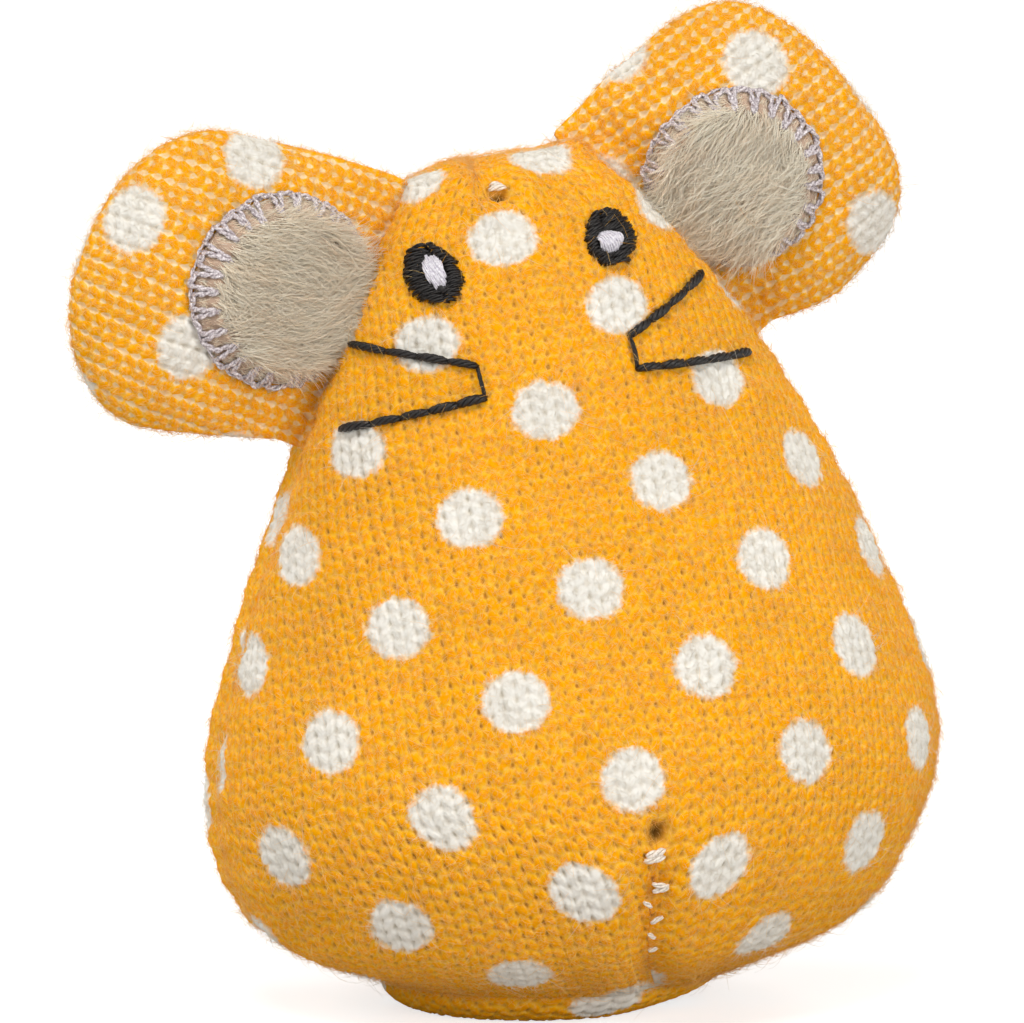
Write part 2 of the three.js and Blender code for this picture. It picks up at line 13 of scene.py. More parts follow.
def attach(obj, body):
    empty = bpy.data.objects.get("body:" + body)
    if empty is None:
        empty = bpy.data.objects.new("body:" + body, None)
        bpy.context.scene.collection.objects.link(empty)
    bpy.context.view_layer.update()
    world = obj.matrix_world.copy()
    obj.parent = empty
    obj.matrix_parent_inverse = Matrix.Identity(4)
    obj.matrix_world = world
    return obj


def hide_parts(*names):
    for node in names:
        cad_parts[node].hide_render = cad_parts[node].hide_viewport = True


MM = 0.001
FRONT, BACK = -1, 1
SIDES = {"left": -1, "right": 1}

# Body sections up its centre line: height, half width, front, back
SECTIONS = np.array([
    (3.0, 18.0, 15.5, 14.5),
    (10.0, 33.5, 26.0, 24.0),
    (24.0, 39.2, 30.5, 27.5),
    (44.0, 33.8, 25.0, 23.5),
    (64.0, 25.2, 17.5, 17.0),
    (78.0, 16.8, 12.5, 12.0),
    (87.8, 9.75, 9.5, 9.5),
])
BASE_SEAM = SECTIONS[0, 0]
BELLY = SECTIONS[2, 0]
CHEEK = SECTIONS[4, 0]
CROWN = SECTIONS[-1, 0]
BASE_ROUNDING = 3.0
CROWN_RIDGE = 2.8
CROWN_DOME = 12.0
CROWN_FOLD = {FRONT: (0.8, 0.0), BACK: (0.5, 0.3)}  # share of the ridge that a panel covers, and its sink
HEAD_LEAN = math.radians(12.5)
BELLY_OVERHANG = 4.0

# Soft relief of the body
LUMPS = ((0.35, 13.0, 21), (0.16, 6.0, 22))  # height, size and seed
GATHER_HEIGHT = 0.18
GATHER_PITCH = 4.7
GATHER_REACH = 3.0
SEAM_DEPTH = 0.9
SEAM_REACH = 0.7
FLANK_DENT = (2.1, 15.0, 6.0)  # depth, height on the body and reach
HAUNCH = (0.8, 7.0, 4.0)
CREST_HEIGHT = 0.8
CREST_SIZE = 5.0
CROWN_PUFF = 0.7
CROWN_REACH = 4.0  # how far down from the crown its crest and puff go

# Ears, from the fold line: their lobes and patches, how the pile lies, and their knit and print
EAR_FOOT = 0.5
EAR_HEAD = 0.6
EAR_THICKNESS = 9.0
EAR_FOLD_RADIUS = 1.2
EAR_GAP = 0.3
EAR_TUCK = 4.0  # how far the ear's cloth runs on into the head
EARS = {
    "left": {
        "reach": 26.4, "width": 31.8, "widest": 14.7, "droop": -3.5, "roundness": 2.05,
        "base": 14.8, "shift": -0.35, "patch": (-0.9, 6.3), "patch_radius": 9.5, "flow": -1.31,
        "wales": math.radians(2), "print": (-6.3, -1.2, 0.0, 1.03),
    },
    "right": {
        "reach": 22.5, "width": 33.6, "widest": 7.3, "droop": -0.5, "roundness": 3.0,
        "base": 15.4, "shift": -1.85, "patch": (-1.3, 6.6), "patch_radius": 8.8, "flow": -1.6,
        "wales": math.radians(-8), "print": (-9.1, 7.7, math.radians(4), 1.08),
    },
}

# Patches and zigzag
PATCH_CUT = -1.6  # runs into the crease under the head's edge
PATCH_EDGE = 0.7
PATCH_PILE = 1.4
PATCH_PUFF = 0.6
PLUSH_STRANDS = 9000
PLUSH_STRAND = 0.042
PLUSH_PAD_SHADE = 0.06
ZIGZAG_OUT = 0.25
ZIGZAG_IN = 2.1
ZIGZAG_PITCH = 2.3
ZIGZAG_SPREAD = 0.5
ZIGZAG_THREAD = 0.58

# Face and threads
EYES = {  # place, half size, narrowing
    -1: (-10.3, 78.85, 2.4, 2.85, 0.1),
    1: (8.1, 78.7, 2.65, 2.5, 0.03),
}
HIGHLIGHTS = {  # place, half size, tilt
    -1: (-9.95, 79.0, 0.8, 1.85, -0.02),
    1: (7.5, 78.3, 1.25, 1.1, 0.2),
}
EYE_ROWS = 15
EYE_STITCH = 0.5
EYE_LIFT = 0.9
EYE_PAD = 0.75
HIGHLIGHT_STITCHES = 9
HIGHLIGHT_STITCH = 0.44
HIGHLIGHT_LIFT = 1.3
WHISKER_ROOT = 8.0
WHISKER_DROP = 18.4
WHISKER_LINK = 3.2
UPPER_WHISKER = (10.3, 3.5)
LOWER_WHISKER = (13.6, -1.5)
WHISKER_STITCH = 2.8
WHISKER_THREAD = 0.98
WHISKER_LINK_THREAD = 0.48
FOREHEAD_HOLE = (-1.7, 85.1)
FOREHEAD_STITCHES = (((-2.3, 85.65), (-0.5, 85.6)), ((-2.0, 86.0), (-0.8, 85.9)))
FOREHEAD_THREAD = 0.72
FACE_SHIFT = -0.8  # the whole face sits a little to the left
DART_TOP = 29.5  # along the cloth, up from the base seam
DART_BEND = 22.0  # it runs straight above this, and swings to the right below
DART_OFFSET = 0.6
DART_SWING = 7.0
DART_TAKE = (0.43, 0.24)  # cloth taken up on its left and right, for each millimetre below its top
DART_HOLE_DROP = 3.5
DART_HOLE = (1.1, 1.3)
DART_STITCHES = (  # place, half length, slope, thickness
    (0.2, 20.25, 0.95, 0.25, 0.4),
    (0.1, 19.65, 1.05, 0.15, 0.4),
    (1.0, 16.9, 0.9, -0.2, 0.32),
    (1.1, 16.4, 0.8, 0.15, 0.3),
    (0.1, 14.8, 0.5, -0.7, 0.26),
    (1.5, 13.0, 0.55, 0.6, 0.26),
    (1.5, 11.2, 0.45, -0.6, 0.26),
    (2.2, 9.6, 0.4, 0.4, 0.24),
)

# Knit: one wale and one course, the gaps between its loops and how far they stand up
WALE = 2.58
COURSE = 1.45
KNIT_TURN = math.radians(4)  # of the body's loops against its rows of dots
KNIT_STEP = 0.16
COARSE_STEP = 1.4 * KNIT_STEP  # on the back and the base
KNIT_RELIEF = 0.55
KNIT_GAP = (0.18, 0.24)
BASE_OPENING = 1.0  # how far each cloth's gaps are stretched open
BODY_OPENING = 1.12
EAR_OPENING = 1.3
LEG_TILT = math.radians(52)
YARN_FIBRE = (0.16, 0.9)  # width and length of the streaks in the yarn
HEM = 2.0  # cloth turned in at a seam
SAG_ASIDE = (-0.24, -0.29, -1.6, 0.97, -0.3, 1.6)  # quadratic in places on the cloth
SAG_UP = (0.76, 1.05, 0.15, -1.52, -2.5, -1.7)
GATHERED_ABOVE = 92.0  # along the cloth, up from the base seam
GATHERED_BY = 3.5
CLOTH_HALF_WIDTH = 70
CLOTH_HEIGHT = 112
CLOTH_CHART = 160  # millimetres of cloth across the bake map
FUZZ_STRAND = 0.02
STRAND_GUIDE = (0.31, 0.17, 0.93)  # a direction that no strand runs along
FRONT_FUZZ = 60000
BACK_FUZZ = 34000
EAR_FUZZ = 9000

# Print: a square grid of dots on its corner, and one dot's place, the turn and the stretch on each cloth
DOT_STEP = (10.08, 9.67)
DOT_SIZE = (3.4, 3.1)
FRONT_PRINT = (7.5, 41.28, 0.0, 1.0)
BACK_PRINT = (3.0, 44.3, 0.0, 1.0)
BASE_PRINT = (2.0, 3.0, 0.0, 1.0)
EAR_BACK_SHIFT = (5.3, -3.4)  # from the print on the ear's front

# Camera, from the middle of the body
CAMERA_AZIMUTH = math.radians(-14.76)
CAMERA_ELEVATION = math.radians(7.24)
CAMERA_DISTANCE = 700.0
CAMERA_TARGET = (0.0, 0.0, 44.0)
CAMERA_SHIFT = (-3.21, 7.33)  # the picture's middle from that target, to the right and up
PIXELS_PER_MM = 9.6
PICTURE_WIDTH = 1024
SENSOR = 36.0

# Stage, in metres and watts
LAMP_SIZE = 0.5
LAMP_COLOUR = (1.0, 0.98, 0.95)
LAMP_TARGET = (0, 0, 0.045)
LAMPS = (
    ("high", (-0.3, -0.6, 1.05), 6.8),
    ("left", (-1.1, -0.3, 0.6), 2.6),
    ("front_left", (-0.6, -1.0, 0.4), 1.4),
    ("front_right", (0.6, -1.0, 0.4), 6.2),
    ("back_left", (-0.7, 0.55, 0.6), 3.0),
    ("back_right", (0.7, 0.55, 0.6), 3.0),
)
SKY_LIGHT = 0.16
FLOOR_SHADE = 0.55
FLOOR_GLOW = 0.7

# Sweep, in millimetres
SWEEP_WIDTH = 5000.0
SWEEP_NEAR = -900.0
SWEEP_BEND = 700.0  # where the floor starts to turn up
SWEEP_RADIUS = 600.0
SWEEP_TOP = 2500.0


def linear(red, green, blue):
    """Colour values of 0 to 255 as a shader's linear colour."""
    share = np.array((red, green, blue)) / 255
    value = np.where(share <= 0.04045, share / 12.92, ((share + 0.055) / 1.055) ** 2.4)
    return (*value.tolist(), 1.0)


def normalised(vectors):
    return vectors / np.maximum(np.linalg.norm(vectors, axis=-1, keepdims=True), 1e-9)


def hashed(cells, seed):
    """Random value of 0 to 1 for each row of whole numbers."""
    mixed = np.sin(cells @ np.array((127.1, 311.7, 74.7))[: cells.shape[-1]] + seed * 17.3) * 43758.5453
    return mixed - np.floor(mixed)


def noise(points, size, seed):
    """Smooth random field of -1 to 1 with features of a given size."""
    spot = np.asarray(points) / size
    cell = np.floor(spot)
    part = spot - cell
    part = part * part * (3 - 2 * part)
    total = np.zeros(spot.shape[:-1])
    for corner in np.ndindex(*(2,) * spot.shape[-1]):
        weight = np.prod(np.where(np.array(corner) == 1, part, 1 - part), axis=-1)
        total += weight * hashed(cell + corner, seed)
    return total * 2 - 1


# Body surface

def measure(column, at):
    """One measure of the body at heights, on a smooth curve through the sections."""
    heights = SECTIONS[:, 0]
    values = SECTIONS[:, column]
    slopes = np.empty(len(values))
    slopes[1:-1] = (values[2:] - values[:-2]) / (heights[2:] - heights[:-2])
    slopes[0] = (values[1] - values[0]) / (heights[1] - heights[0])
    slopes[-1] = (values[-1] - values[-2]) / (heights[-1] - heights[-2])
    i = np.clip(np.searchsorted(heights, at) - 1, 0, len(values) - 2)
    span = heights[i + 1] - heights[i]
    t = np.clip((at - heights[i]) / span, 0, 1)
    rise = t * t * (3 - 2 * t)
    leave = t * (1 - t) ** 2 * span * slopes[i]
    arrive = t * t * (t - 1) * span * slopes[i + 1]
    return values[i] * (1 - rise) + values[i + 1] * rise + leave + arrive


def section(at):
    """Half width, front and back of the body at heights."""
    up = np.clip((at - CROWN + CROWN_DOME) / CROWN_DOME, 0, 1)
    dome = np.sqrt(1 - up * up)
    ridge = CROWN_RIDGE / 2
    front = ridge + (measure(2, at) - ridge) * dome
    back = ridge + (measure(3, at) - ridge) * dome
    return measure(1, at), front, back


def lean(x, y, at):
    """Points of the upright body, moved by the sag of the belly and the bend to -X."""
    radius = CROWN / HEAD_LEAN
    below = 1 - np.clip(at / BELLY, 0, 1)
    out = radius + x + BELLY_OVERHANG * (1 - below ** 2)
    turn = at / radius
    return np.stack(np.broadcast_arrays(out * np.cos(turn) - radius, y, out * np.sin(turn)), -1)


def body_point(face, angle, at):
    """Points at angles from the middle of the front or the back, and heights."""
    half, front, back = section(at)
    depth = front if face == FRONT else back
    return lean(half * np.sin(angle), face * depth * np.cos(angle), at)


def body_normal(face, angle, at):
    step = 0.01
    low = np.maximum(at - step, BASE_SEAM)
    high = np.minimum(at + step, CROWN - 0.001)
    across = body_point(face, angle + step, at) - body_point(face, angle - step, at)
    up = body_point(face, angle, high) - body_point(face, angle, low)
    return normalised(np.cross(across, up) * -face)


def arc_lengths(points, axis):
    """Lengths along one axis of a grid of points, from its first point."""
    steps = np.linalg.norm(np.diff(points, axis=axis), axis=-1)
    start = np.zeros_like(np.take(steps, [0], axis=axis))
    return np.concatenate([start, np.cumsum(steps, axis=axis)], axis=axis)


def evenly(arcs, values):
    """Values along each arc, taken at even steps of its length."""
    shares = np.linspace(0, 1, len(values))
    return np.array([np.interp(shares * arc[-1], arc, values) for arc in arcs])


class Panel:
    """Arc lengths over the front or the back: across from the middle line, and up from the base seam."""

    def __init__(self, face):
        self.heights = np.linspace(BASE_SEAM, CROWN - 0.001, 300)
        angles = np.linspace(0, math.pi / 2, 200)
        grid = np.meshgrid(self.heights, angles, indexing="ij")
        points = body_point(face, grid[1], grid[0])
        arcs = arc_lengths(points, 1)
        self.reach = arcs[:, -1]
        self.angles = evenly(arcs, angles)
        self.climb = arc_lengths(points[:, 0], 0)

    def place(self, across, climb):
        """Angle and height at arc lengths, and how far these lie past the sides."""
        at = np.interp(climb, self.climb, self.heights)
        reach = np.interp(at, self.heights, self.reach)
        share = np.clip(np.abs(across) / reach, 0, 1)
        row = (at - BASE_SEAM) / (CROWN - BASE_SEAM) * (len(self.heights) - 1)
        angle = bilinear(self.angles, row, share * (self.angles.shape[1] - 1))
        return np.sign(across) * angle, at, np.abs(across) - reach


def bilinear(table, row, column):
    """Values of a table between its rows and columns."""
    i = np.clip(np.floor(row).astype(int), 0, table.shape[0] - 2)
    j = np.clip(np.floor(column).astype(int), 0, table.shape[1] - 2)
    a = np.clip(row - i, 0, 1)
    b = np.clip(column - j, 0, 1)
    if table.ndim == 3:
        a = a[..., None]
        b = b[..., None]
    low = table[i, j] * (1 - b) + table[i, j + 1] * b
    high = table[i + 1, j] * (1 - b) + table[i + 1, j + 1] * b
    return low * (1 - a) + high * a


# Knit

def loops(across, climb, gap):
    """Height of the knit's face, 0 to 1, and the place on its yarn.

    The legs of the loops lean in turns and part in gaps. Stretched cloth opens between its wales first.
    """
    half = WALE / 2
    band = np.floor(across / half)
    even = band % 2 == 0
    share = across / half - band
    row = climb / COURSE - 0.5 * np.where(even, share, 1 - share)
    to_side = np.minimum(share, 1 - share) * half
    to_gap = (row - np.round(row)) * COURSE
    between_legs = (0.5 + 0.5 * np.cos(2 * math.pi * row)) ** 2
    between_bands = np.exp(-(to_side / 0.15) ** 2)
    between_wales = np.round(across / half) % 2 == 1
    wide = gap * KNIT_GAP[0]
    long = gap * KNIT_GAP[1] * np.where(between_wales, 2 * gap - 1, 1)
    open_share = np.where(between_wales, 1, 2.5 - 1.5 * gap)
    hole = open_share * np.exp(-(to_side / wide) ** 2 - (to_gap / long) ** 2)
    height = (1 - 0.26 * between_legs - 0.22 * between_bands) * (1 - hole)
    x = (share - 0.5) * half * np.where(even, 1, -1)
    aside = x * math.sin(LEG_TILT) - climb * math.cos(LEG_TILT)
    along = x * math.cos(LEG_TILT) + climb * math.sin(LEG_TILT)
    strand = 40 * hashed(np.stack([band, np.floor(row)], -1), 8)
    return height, np.stack([aside / YARN_FIBRE[0], along / YARN_FIBRE[1], strand], -1)


def dots(across, climb, origin):
    """Signed distance inside the nearest dot, as a share of its size."""
    x, y, turn, stretch = origin
    a = ((across - x) * math.cos(turn) + (climb - y) * math.sin(turn)) / (stretch * DOT_STEP[0])
    b = ((climb - y) * math.cos(turn) - (across - x) * math.sin(turn)) / (stretch * DOT_STEP[1])
    best = np.full(np.broadcast(a, b).shape, 9.0)
    row = np.round(b)
    for near in (row - 1, row, row + 1):
        odd = near % 2
        column = np.round((a - odd) / 2) * 2 + odd
        aside = (a - column) * DOT_STEP[0] / DOT_SIZE[0]
        above = (b - near) * DOT_STEP[1] / DOT_SIZE[1]
        best = np.minimum(best, np.hypot(aside, above))
    return 1 - best


def knit_layers(across, climb, origin, turn, gap):
    """Height, print, shade and yarn of the knit at places on the cloth."""
    places = np.stack(np.broadcast_arrays(across, climb), -1)
    wander = 0.16 * noise(places, 3.1, 5)
    sway = 0.16 * noise(places, 2.6, 6)
    u = across * math.cos(turn) - climb * math.sin(turn) + wander
    v = across * math.sin(turn) + climb * math.cos(turn) + sway
    height, yarn = loops(u, v, gap)
    loop = np.stack([np.floor(u / (WALE / 2)), np.floor(v / COURSE)], -1)
    shade = np.clip(0.65 + 0.35 * (hashed(loop, 3) - 0.5) + 0.3 * noise(places, 5.0, 9), 0.3, 1)
    ragged = 0.25 * np.stack([noise(places, 0.8, 14), noise(places, 0.8, 15)], -1)
    inside = dots(across + ragged[..., 0], climb + ragged[..., 1], origin)
    filled = 0.55 * (0.5 + 0.5 * noise(places, 2.0, 4))
    height = np.maximum(height, filled) + 0.07 * noise(places, 0.33, 12)
    return {"height": height, "print": np.clip(0.5 + inside * 3, 0, 1), "shade": shade, "yarn": yarn}


# Meshes

def mesh_object(name, points, faces, material, layers=None, bake=None):
    """Object from points in millimetres, faces with equal numbers of corners, and point values."""
    mesh = bpy.data.meshes.new(name)
    corners = faces.shape[1]
    mesh.vertices.add(len(points))
    mesh.vertices.foreach_set("co", (points * MM).astype(np.float32).ravel())
    mesh.loops.add(faces.size)
    mesh.loops.foreach_set("vertex_index", faces.astype(np.int32).ravel())
    mesh.polygons.add(len(faces))
    mesh.polygons.foreach_set("loop_start", np.arange(0, faces.size, corners, dtype=np.int32))
    mesh.polygons.foreach_set("use_smooth", np.ones(len(faces), dtype=bool))
    for key, values in (layers or {}).items():
        kind, slot = ("FLOAT_VECTOR", "vector") if values.ndim == 2 else ("FLOAT", "value")
        layer = mesh.attributes.new(key, kind, "POINT")
        layer.data.foreach_set(slot, values.astype(np.float32).ravel())
    if bake is not None:
        chart = mesh.uv_layers.new(name="OFBake")
        chart.data.foreach_set("uv", bake[faces.ravel()].astype(np.float32).ravel())
    mesh.update(calc_edges=True)
    mesh.materials.append(material)
    piece = bpy.data.objects.new(name, mesh)
    bpy.context.collection.objects.link(piece)
    return piece


def grid_faces(outside):
    """Quads between grid points, without those that lie outside at every corner."""
    index = np.arange(outside.size).reshape(outside.shape)
    quads = np.stack([index[:-1, :-1], index[:-1, 1:], index[1:, 1:], index[1:, :-1]], -1)
    return quads[~outside.ravel()[quads].all(axis=-1)]


def ring_faces(rings, rays):
    """Triangles between closed rings of points."""
    index = np.arange(rings * rays).reshape(rings, rays)
    after = np.roll(index, -1, axis=1)
    a, b, c, d = index[:-1], after[:-1], after[1:], index[1:]
    return np.concatenate([np.stack(corners, -1).reshape(-1, 3) for corners in ((a, c, b), (a, d, c))])


def strands(paths, radii, sides):
    """Closed tubes along paths of equal length: points, triangles and the strand of each point."""
    count, length = paths.shape[:2]
    ahead = normalised(np.gradient(paths, axis=1))
    across = normalised(np.cross(ahead, np.zeros_like(ahead) + STRAND_GUIDE))
    up = np.cross(across, ahead)
    turns = 2 * math.pi * np.arange(sides) / sides
    radii = np.broadcast_to(radii, (count, length))[..., None, None]
    ring = across[:, :, None] * np.cos(turns)[:, None] + up[:, :, None] * np.sin(turns)[:, None]
    points = (paths[:, :, None] + radii * ring).reshape(count, -1, 3)
    points = np.concatenate([points, paths[:, :1], paths[:, -1:]], axis=1)
    per = length * sides + 2
    i = np.arange(length - 1)[:, None] * sides
    j = np.arange(sides)[None]
    k = (j + 1) % sides
    a, b, c, d = i + j, i + k, i + sides + k, i + sides + j
    tube = np.concatenate([np.stack(corners, -1).reshape(-1, 3) for corners in ((a, b, c), (a, c, d))])
    last = (length - 1) * sides
    j, k = j[0], k[0]
    foot = np.stack([np.full(sides, per - 2), k, j], -1)
    tip = np.stack([np.full(sides, per - 1), last + j, last + k], -1)
    one = np.concatenate([tube, foot, tip])
    faces = (one[None] + np.arange(count)[:, None, None] * per).reshape(-1, 3)
    owner = np.repeat(np.arange(count), per)
    return points.reshape(-1, 3), faces, owner


def strand_chart(count, length, sides):
    """Bake map that gives each strand a cell of its own."""
    columns = math.ceil(math.sqrt(count))
    cell = 1 / columns
    along = np.repeat(np.linspace(0.1, 0.9, length), sides)
    around = np.tile(np.linspace(0.1, 0.9, sides), length)
    spot = np.stack([np.append(around, (0.5, 0.5)), np.append(along, (0.05, 0.95))], -1)
    corner = np.stack([np.arange(count) % columns, np.arange(count) // columns], -1)
    return ((corner[:, None] + spot[None]) * cell).reshape(-1, 2)


def plied(path, lift, radius, plies, pitch, phase=0.0):
    """Twisted plies round one path, as paths of equal length."""
    ahead = normalised(np.gradient(path, axis=0))
    across = normalised(np.cross(ahead, lift))
    up = np.cross(across, ahead)
    along = arc_lengths(path, 0)
    turns = 2 * math.pi * (along / pitch + np.arange(plies)[:, None] / plies) + phase
    reach = np.broadcast_to(radius, len(path))[None, :, None]
    return path + reach * (np.cos(turns)[..., None] * across + np.sin(turns)[..., None] * up)


# Materials

def feed(tree, node, values):
    """Link or set the inputs of a node, by socket."""
    for socket, value in values.items():
        if hasattr(value, "links"):
            tree.links.new(value, node.inputs[socket])
        else:
            node.inputs[socket].default_value = value
    return node


class Nodes:
    """A material with a Principled shader and short ways to add nodes to it."""

    def __init__(self, name, roughness, sheen=0.0, sheen_tint=(1, 1, 1, 1), specular=0.25):
        self.material = bpy.data.materials.new(name)
        self.material.use_nodes = True
        self.tree = self.material.node_tree
        self.shader = feed(self.tree, self.tree.nodes["Principled BSDF"], {
            "Roughness": roughness,
            "Sheen Weight": sheen,
            "Sheen Roughness": 0.5,
            "Sheen Tint": sheen_tint,
            "Specular IOR Level": specular,
        })
        self.place = self.add("TexCoord").outputs["Object"]

    def add(self, kind, values=None):
        return feed(self.tree, self.tree.nodes.new(f"ShaderNode{kind}"), values or {})

    def layer(self, name, output="Fac"):
        node = self.add("Attribute")
        node.attribute_name = name
        return node.outputs[output]

    def noise(self, scale, detail=2.0, layer=None):
        """Noise at places in metres, or at the values of a layer."""
        place = self.layer(layer, "Vector") if layer else self.place
        node = self.add("TexNoise", {"Scale": scale, "Detail": detail, "Vector": place})
        return node.outputs["Fac"]

    def ramp(self, value, stops):
        node = self.add("ValToRGB", {"Fac": value})
        ramp = node.color_ramp
        for at, colour in stops[1:-1]:
            ramp.elements.new(at).color = colour
        for element, (at, colour) in zip((ramp.elements[0], ramp.elements[-1]), (stops[0], stops[-1])):
            element.position = at
            element.color = colour
        return node.outputs["Color"]

    def mix(self, share, first, second, blend="MIX"):
        node = self.add("Mix")
        node.data_type = "RGBA"
        node.blend_type = blend
        feed(self.tree, node, {0: share, 6: first, 7: second})
        return node.outputs[2]

    def combine(self, first, operation, second):
        node = self.add("Math", {0: first, 1: second})
        node.operation = operation
        return node.outputs[0]

    def vary(self, value, noise, amount):
        """A value that swings with a noise, by up to half the amount each way."""
        swing = self.combine(self.combine(noise, "SUBTRACT", 0.5), "MULTIPLY", amount)
        return self.combine(value, "ADD", swing)

    def bump(self, height, strength, distance):
        node = self.add("Bump", {"Strength": strength, "Distance": distance, "Height": height})
        feed(self.tree, self.shader, {"Normal": node.outputs["Normal"]})

    def colour(self, output):
        feed(self.tree, self.shader, {"Base Color": output})
        return self.material


def grey(value):
    return (value, value, value, 1.0)


def knit_material(name, hole, flank, paleness):
    """Printed jersey: deep yellow on the loops, with streaks along the yarn, and white in the dots. The
    gaps between the loops take the hole colour, partly the yarn and filling seen there and partly painted
    shade.
    """
    nodes = Nodes(name, 0.95, specular=0.08)
    fibre = nodes.noise(1.0, 3.0, "yarn")
    grain = nodes.noise(2600, 3.0)
    height = nodes.vary(nodes.layer("height"), fibre, 0.6)
    # The yellow starts at the hole colour, in the gaps between the loops: on the body a brown that is
    # partly painted shade
    yellow = nodes.ramp(height, [
        (0.0, hole),
        (paleness, flank),
        (0.7, linear(255, 198, 58)),
        (0.86, linear(255, 180, 0)),
        (1.0, linear(253, 168, 0)),
    ])
    wisps = nodes.ramp(grain, [(0.52, grey(0.0)), (0.66, grey(0.5))])
    yellow = nodes.mix(wisps, yellow, linear(255, 212, 120))
    # The white's lowest stop is greyer: painted shade in the gaps between the loops of the dots
    white = nodes.ramp(height, [
        (0.0, linear(204, 195, 178)),
        (0.4, linear(236, 231, 220)),
        (0.7, linear(245, 242, 234)),
        (0.9, linear(248, 246, 239)),
    ])
    edge = nodes.vary(nodes.layer("print"), grain, 1.0)
    inside = nodes.ramp(edge, [(0.2, grey(0.0)), (0.8, grey(1.0))])
    cloth = nodes.mix(inside, yellow, white)
    # Shade below 0.3 comes only from the holes at the dart and the forehead, and darkens them: painted
    # shade
    tone = nodes.ramp(nodes.layer("shade"), [(0.0, grey(0.36)), (0.3, grey(0.9)), (1.0, grey(1.0))])
    cloth = nodes.mix(1.0, cloth, tone, "MULTIPLY")
    nodes.bump(fibre, 0.35, 0.0003)
    return nodes.colour(cloth)


def fuzz_material():
    """Loose fibres of the knit, yellow or white as the print under them."""
    nodes = Nodes("fuzz", 0.8, 0.3, linear(255, 235, 200))
    yellow = nodes.ramp(nodes.layer("shade"), [(0.0, linear(250, 176, 48)), (1.0, linear(255, 222, 150))])
    pale = nodes.ramp(nodes.noise(900), [(0.3, linear(228, 222, 210)), (0.7, linear(246, 243, 236))])
    return nodes.colour(nodes.mix(nodes.layer("print"), yellow, pale))


def plush_material():
    """Short pile, each strand with a shade of its own."""
    nodes = Nodes("plush", 0.85, 0.6, linear(250, 230, 208))
    shade = nodes.ramp(nodes.layer("shade"), [
        (0.0, linear(178, 150, 131)),
        (0.3, linear(240, 211, 184)),
        (0.6, linear(255, 240, 216)),
        (1.0, linear(255, 250, 234)),
    ])
    clump = nodes.ramp(nodes.noise(700, 3.0), [(0.3, grey(0.92)), (0.7, grey(1.0))])
    return nodes.colour(nodes.mix(1.0, shade, clump, "MULTIPLY"))


def thread_material(name, dark, light, roughness, specular):
    """Spun or stranded thread with fine fibres along it, flecked between a dark and a light colour."""
    nodes = Nodes(name, roughness, specular=specular)
    fibre = nodes.noise(4200, 3.0)
    nodes.bump(fibre, 0.4, 0.00015)
    return nodes.colour(nodes.ramp(fibre, [(0.35, dark), (0.65, light)]))


def filling_material(name, dark, light, scale):
    """Loose or pressed filling inside the cloth."""
    nodes = Nodes(name, 0.9, 0.2)
    speck = nodes.noise(scale, 4.0)
    nodes.bump(speck, 0.6, 0.0005)
    return nodes.colour(nodes.ramp(speck, [(0.35, dark), (0.65, light)]))


# Panels

def swelling(at, height, middle, reach):
    return height * np.exp(-((at - middle) / reach) ** 2)


def body_relief(face, angle, at, points):
    """Slow lumps of the stuffing, the seams' valleys and the gathers along them."""
    lumps = sum(height * noise(points, size, seed) for height, size, seed in LUMPS)
    half = measure(1, at)
    from_seam = half * (1 - np.abs(np.sin(angle))) + half * 0.5 * np.cos(angle) ** 2
    waves = np.sin(2 * math.pi * at / GATHER_PITCH + face)
    gathers = GATHER_HEIGHT * waves * np.exp(-from_seam / GATHER_REACH)
    valley = -SEAM_DEPTH * np.exp(-from_seam / SEAM_REACH)
    flank = -swelling(at, *FLANK_DENT) * np.clip(np.sin(angle), 0, 1) ** 6
    haunch = swelling(at, *HAUNCH) * np.clip(-np.sin(angle), 0, 1) ** 2
    crest = CREST_HEIGHT * noise(points[..., :1], CREST_SIZE, 24) * np.exp(-(CROWN - at) / CROWN_REACH)
    near_base = np.clip((at - BASE_SEAM) / 2, 0, 1)
    near_crown = np.clip((CROWN - at) / 5, 0, 1)
    return ((lumps + gathers) * near_crown + valley + flank + haunch + crest) * near_base


def dart_line(climb):
    """How far the dart lies to the right of the middle line."""
    return DART_OFFSET + DART_SWING * np.clip((DART_BEND - climb) / DART_BEND, 0, 1.2) ** 2


def dart_wedge(climb):
    """Cloth taken up by the belly dart on its left and on its right."""
    below = np.clip(DART_TOP - climb, 0, DART_TOP + HEM)
    return DART_TAKE[0] * below, DART_TAKE[1] * below


def quadratic(weights, x, y):
    """Sum of 1, x, y, xy, xx and yy, each times its weight."""
    a, b, c, d, e, f = weights
    return a + b * x + c * y + d * x * y + e * x * x + f * y * y


def hung(across, climb):
    """Where places on the cloth come to lie: it sags at the sides and is gathered at the crown."""
    x = np.clip(across / 30, -1.6, 1.6)
    y = (climb - 50) / 40
    gather = np.clip((climb - GATHERED_ABOVE) / 6, 0, 1)
    raised = quadratic(SAG_UP, x, y) + gather
    aside = quadratic(SAG_ASIDE, x, y) - GATHERED_BY * gather * np.tanh((across + 3.2) / 3)
    return across + aside, climb + raised


def sewn_dart(across, climb):
    """Where places on the front lie once the dart is sewn, and how far each is inside its wedge."""
    left, right = dart_wedge(climb)
    line = dart_line(climb)
    aside = across - line
    into_dart = np.minimum(aside + left, right - aside)
    closed = np.where(aside < 0, np.minimum(aside + left, 0), np.maximum(aside - right, 0))
    return line + closed, into_dart


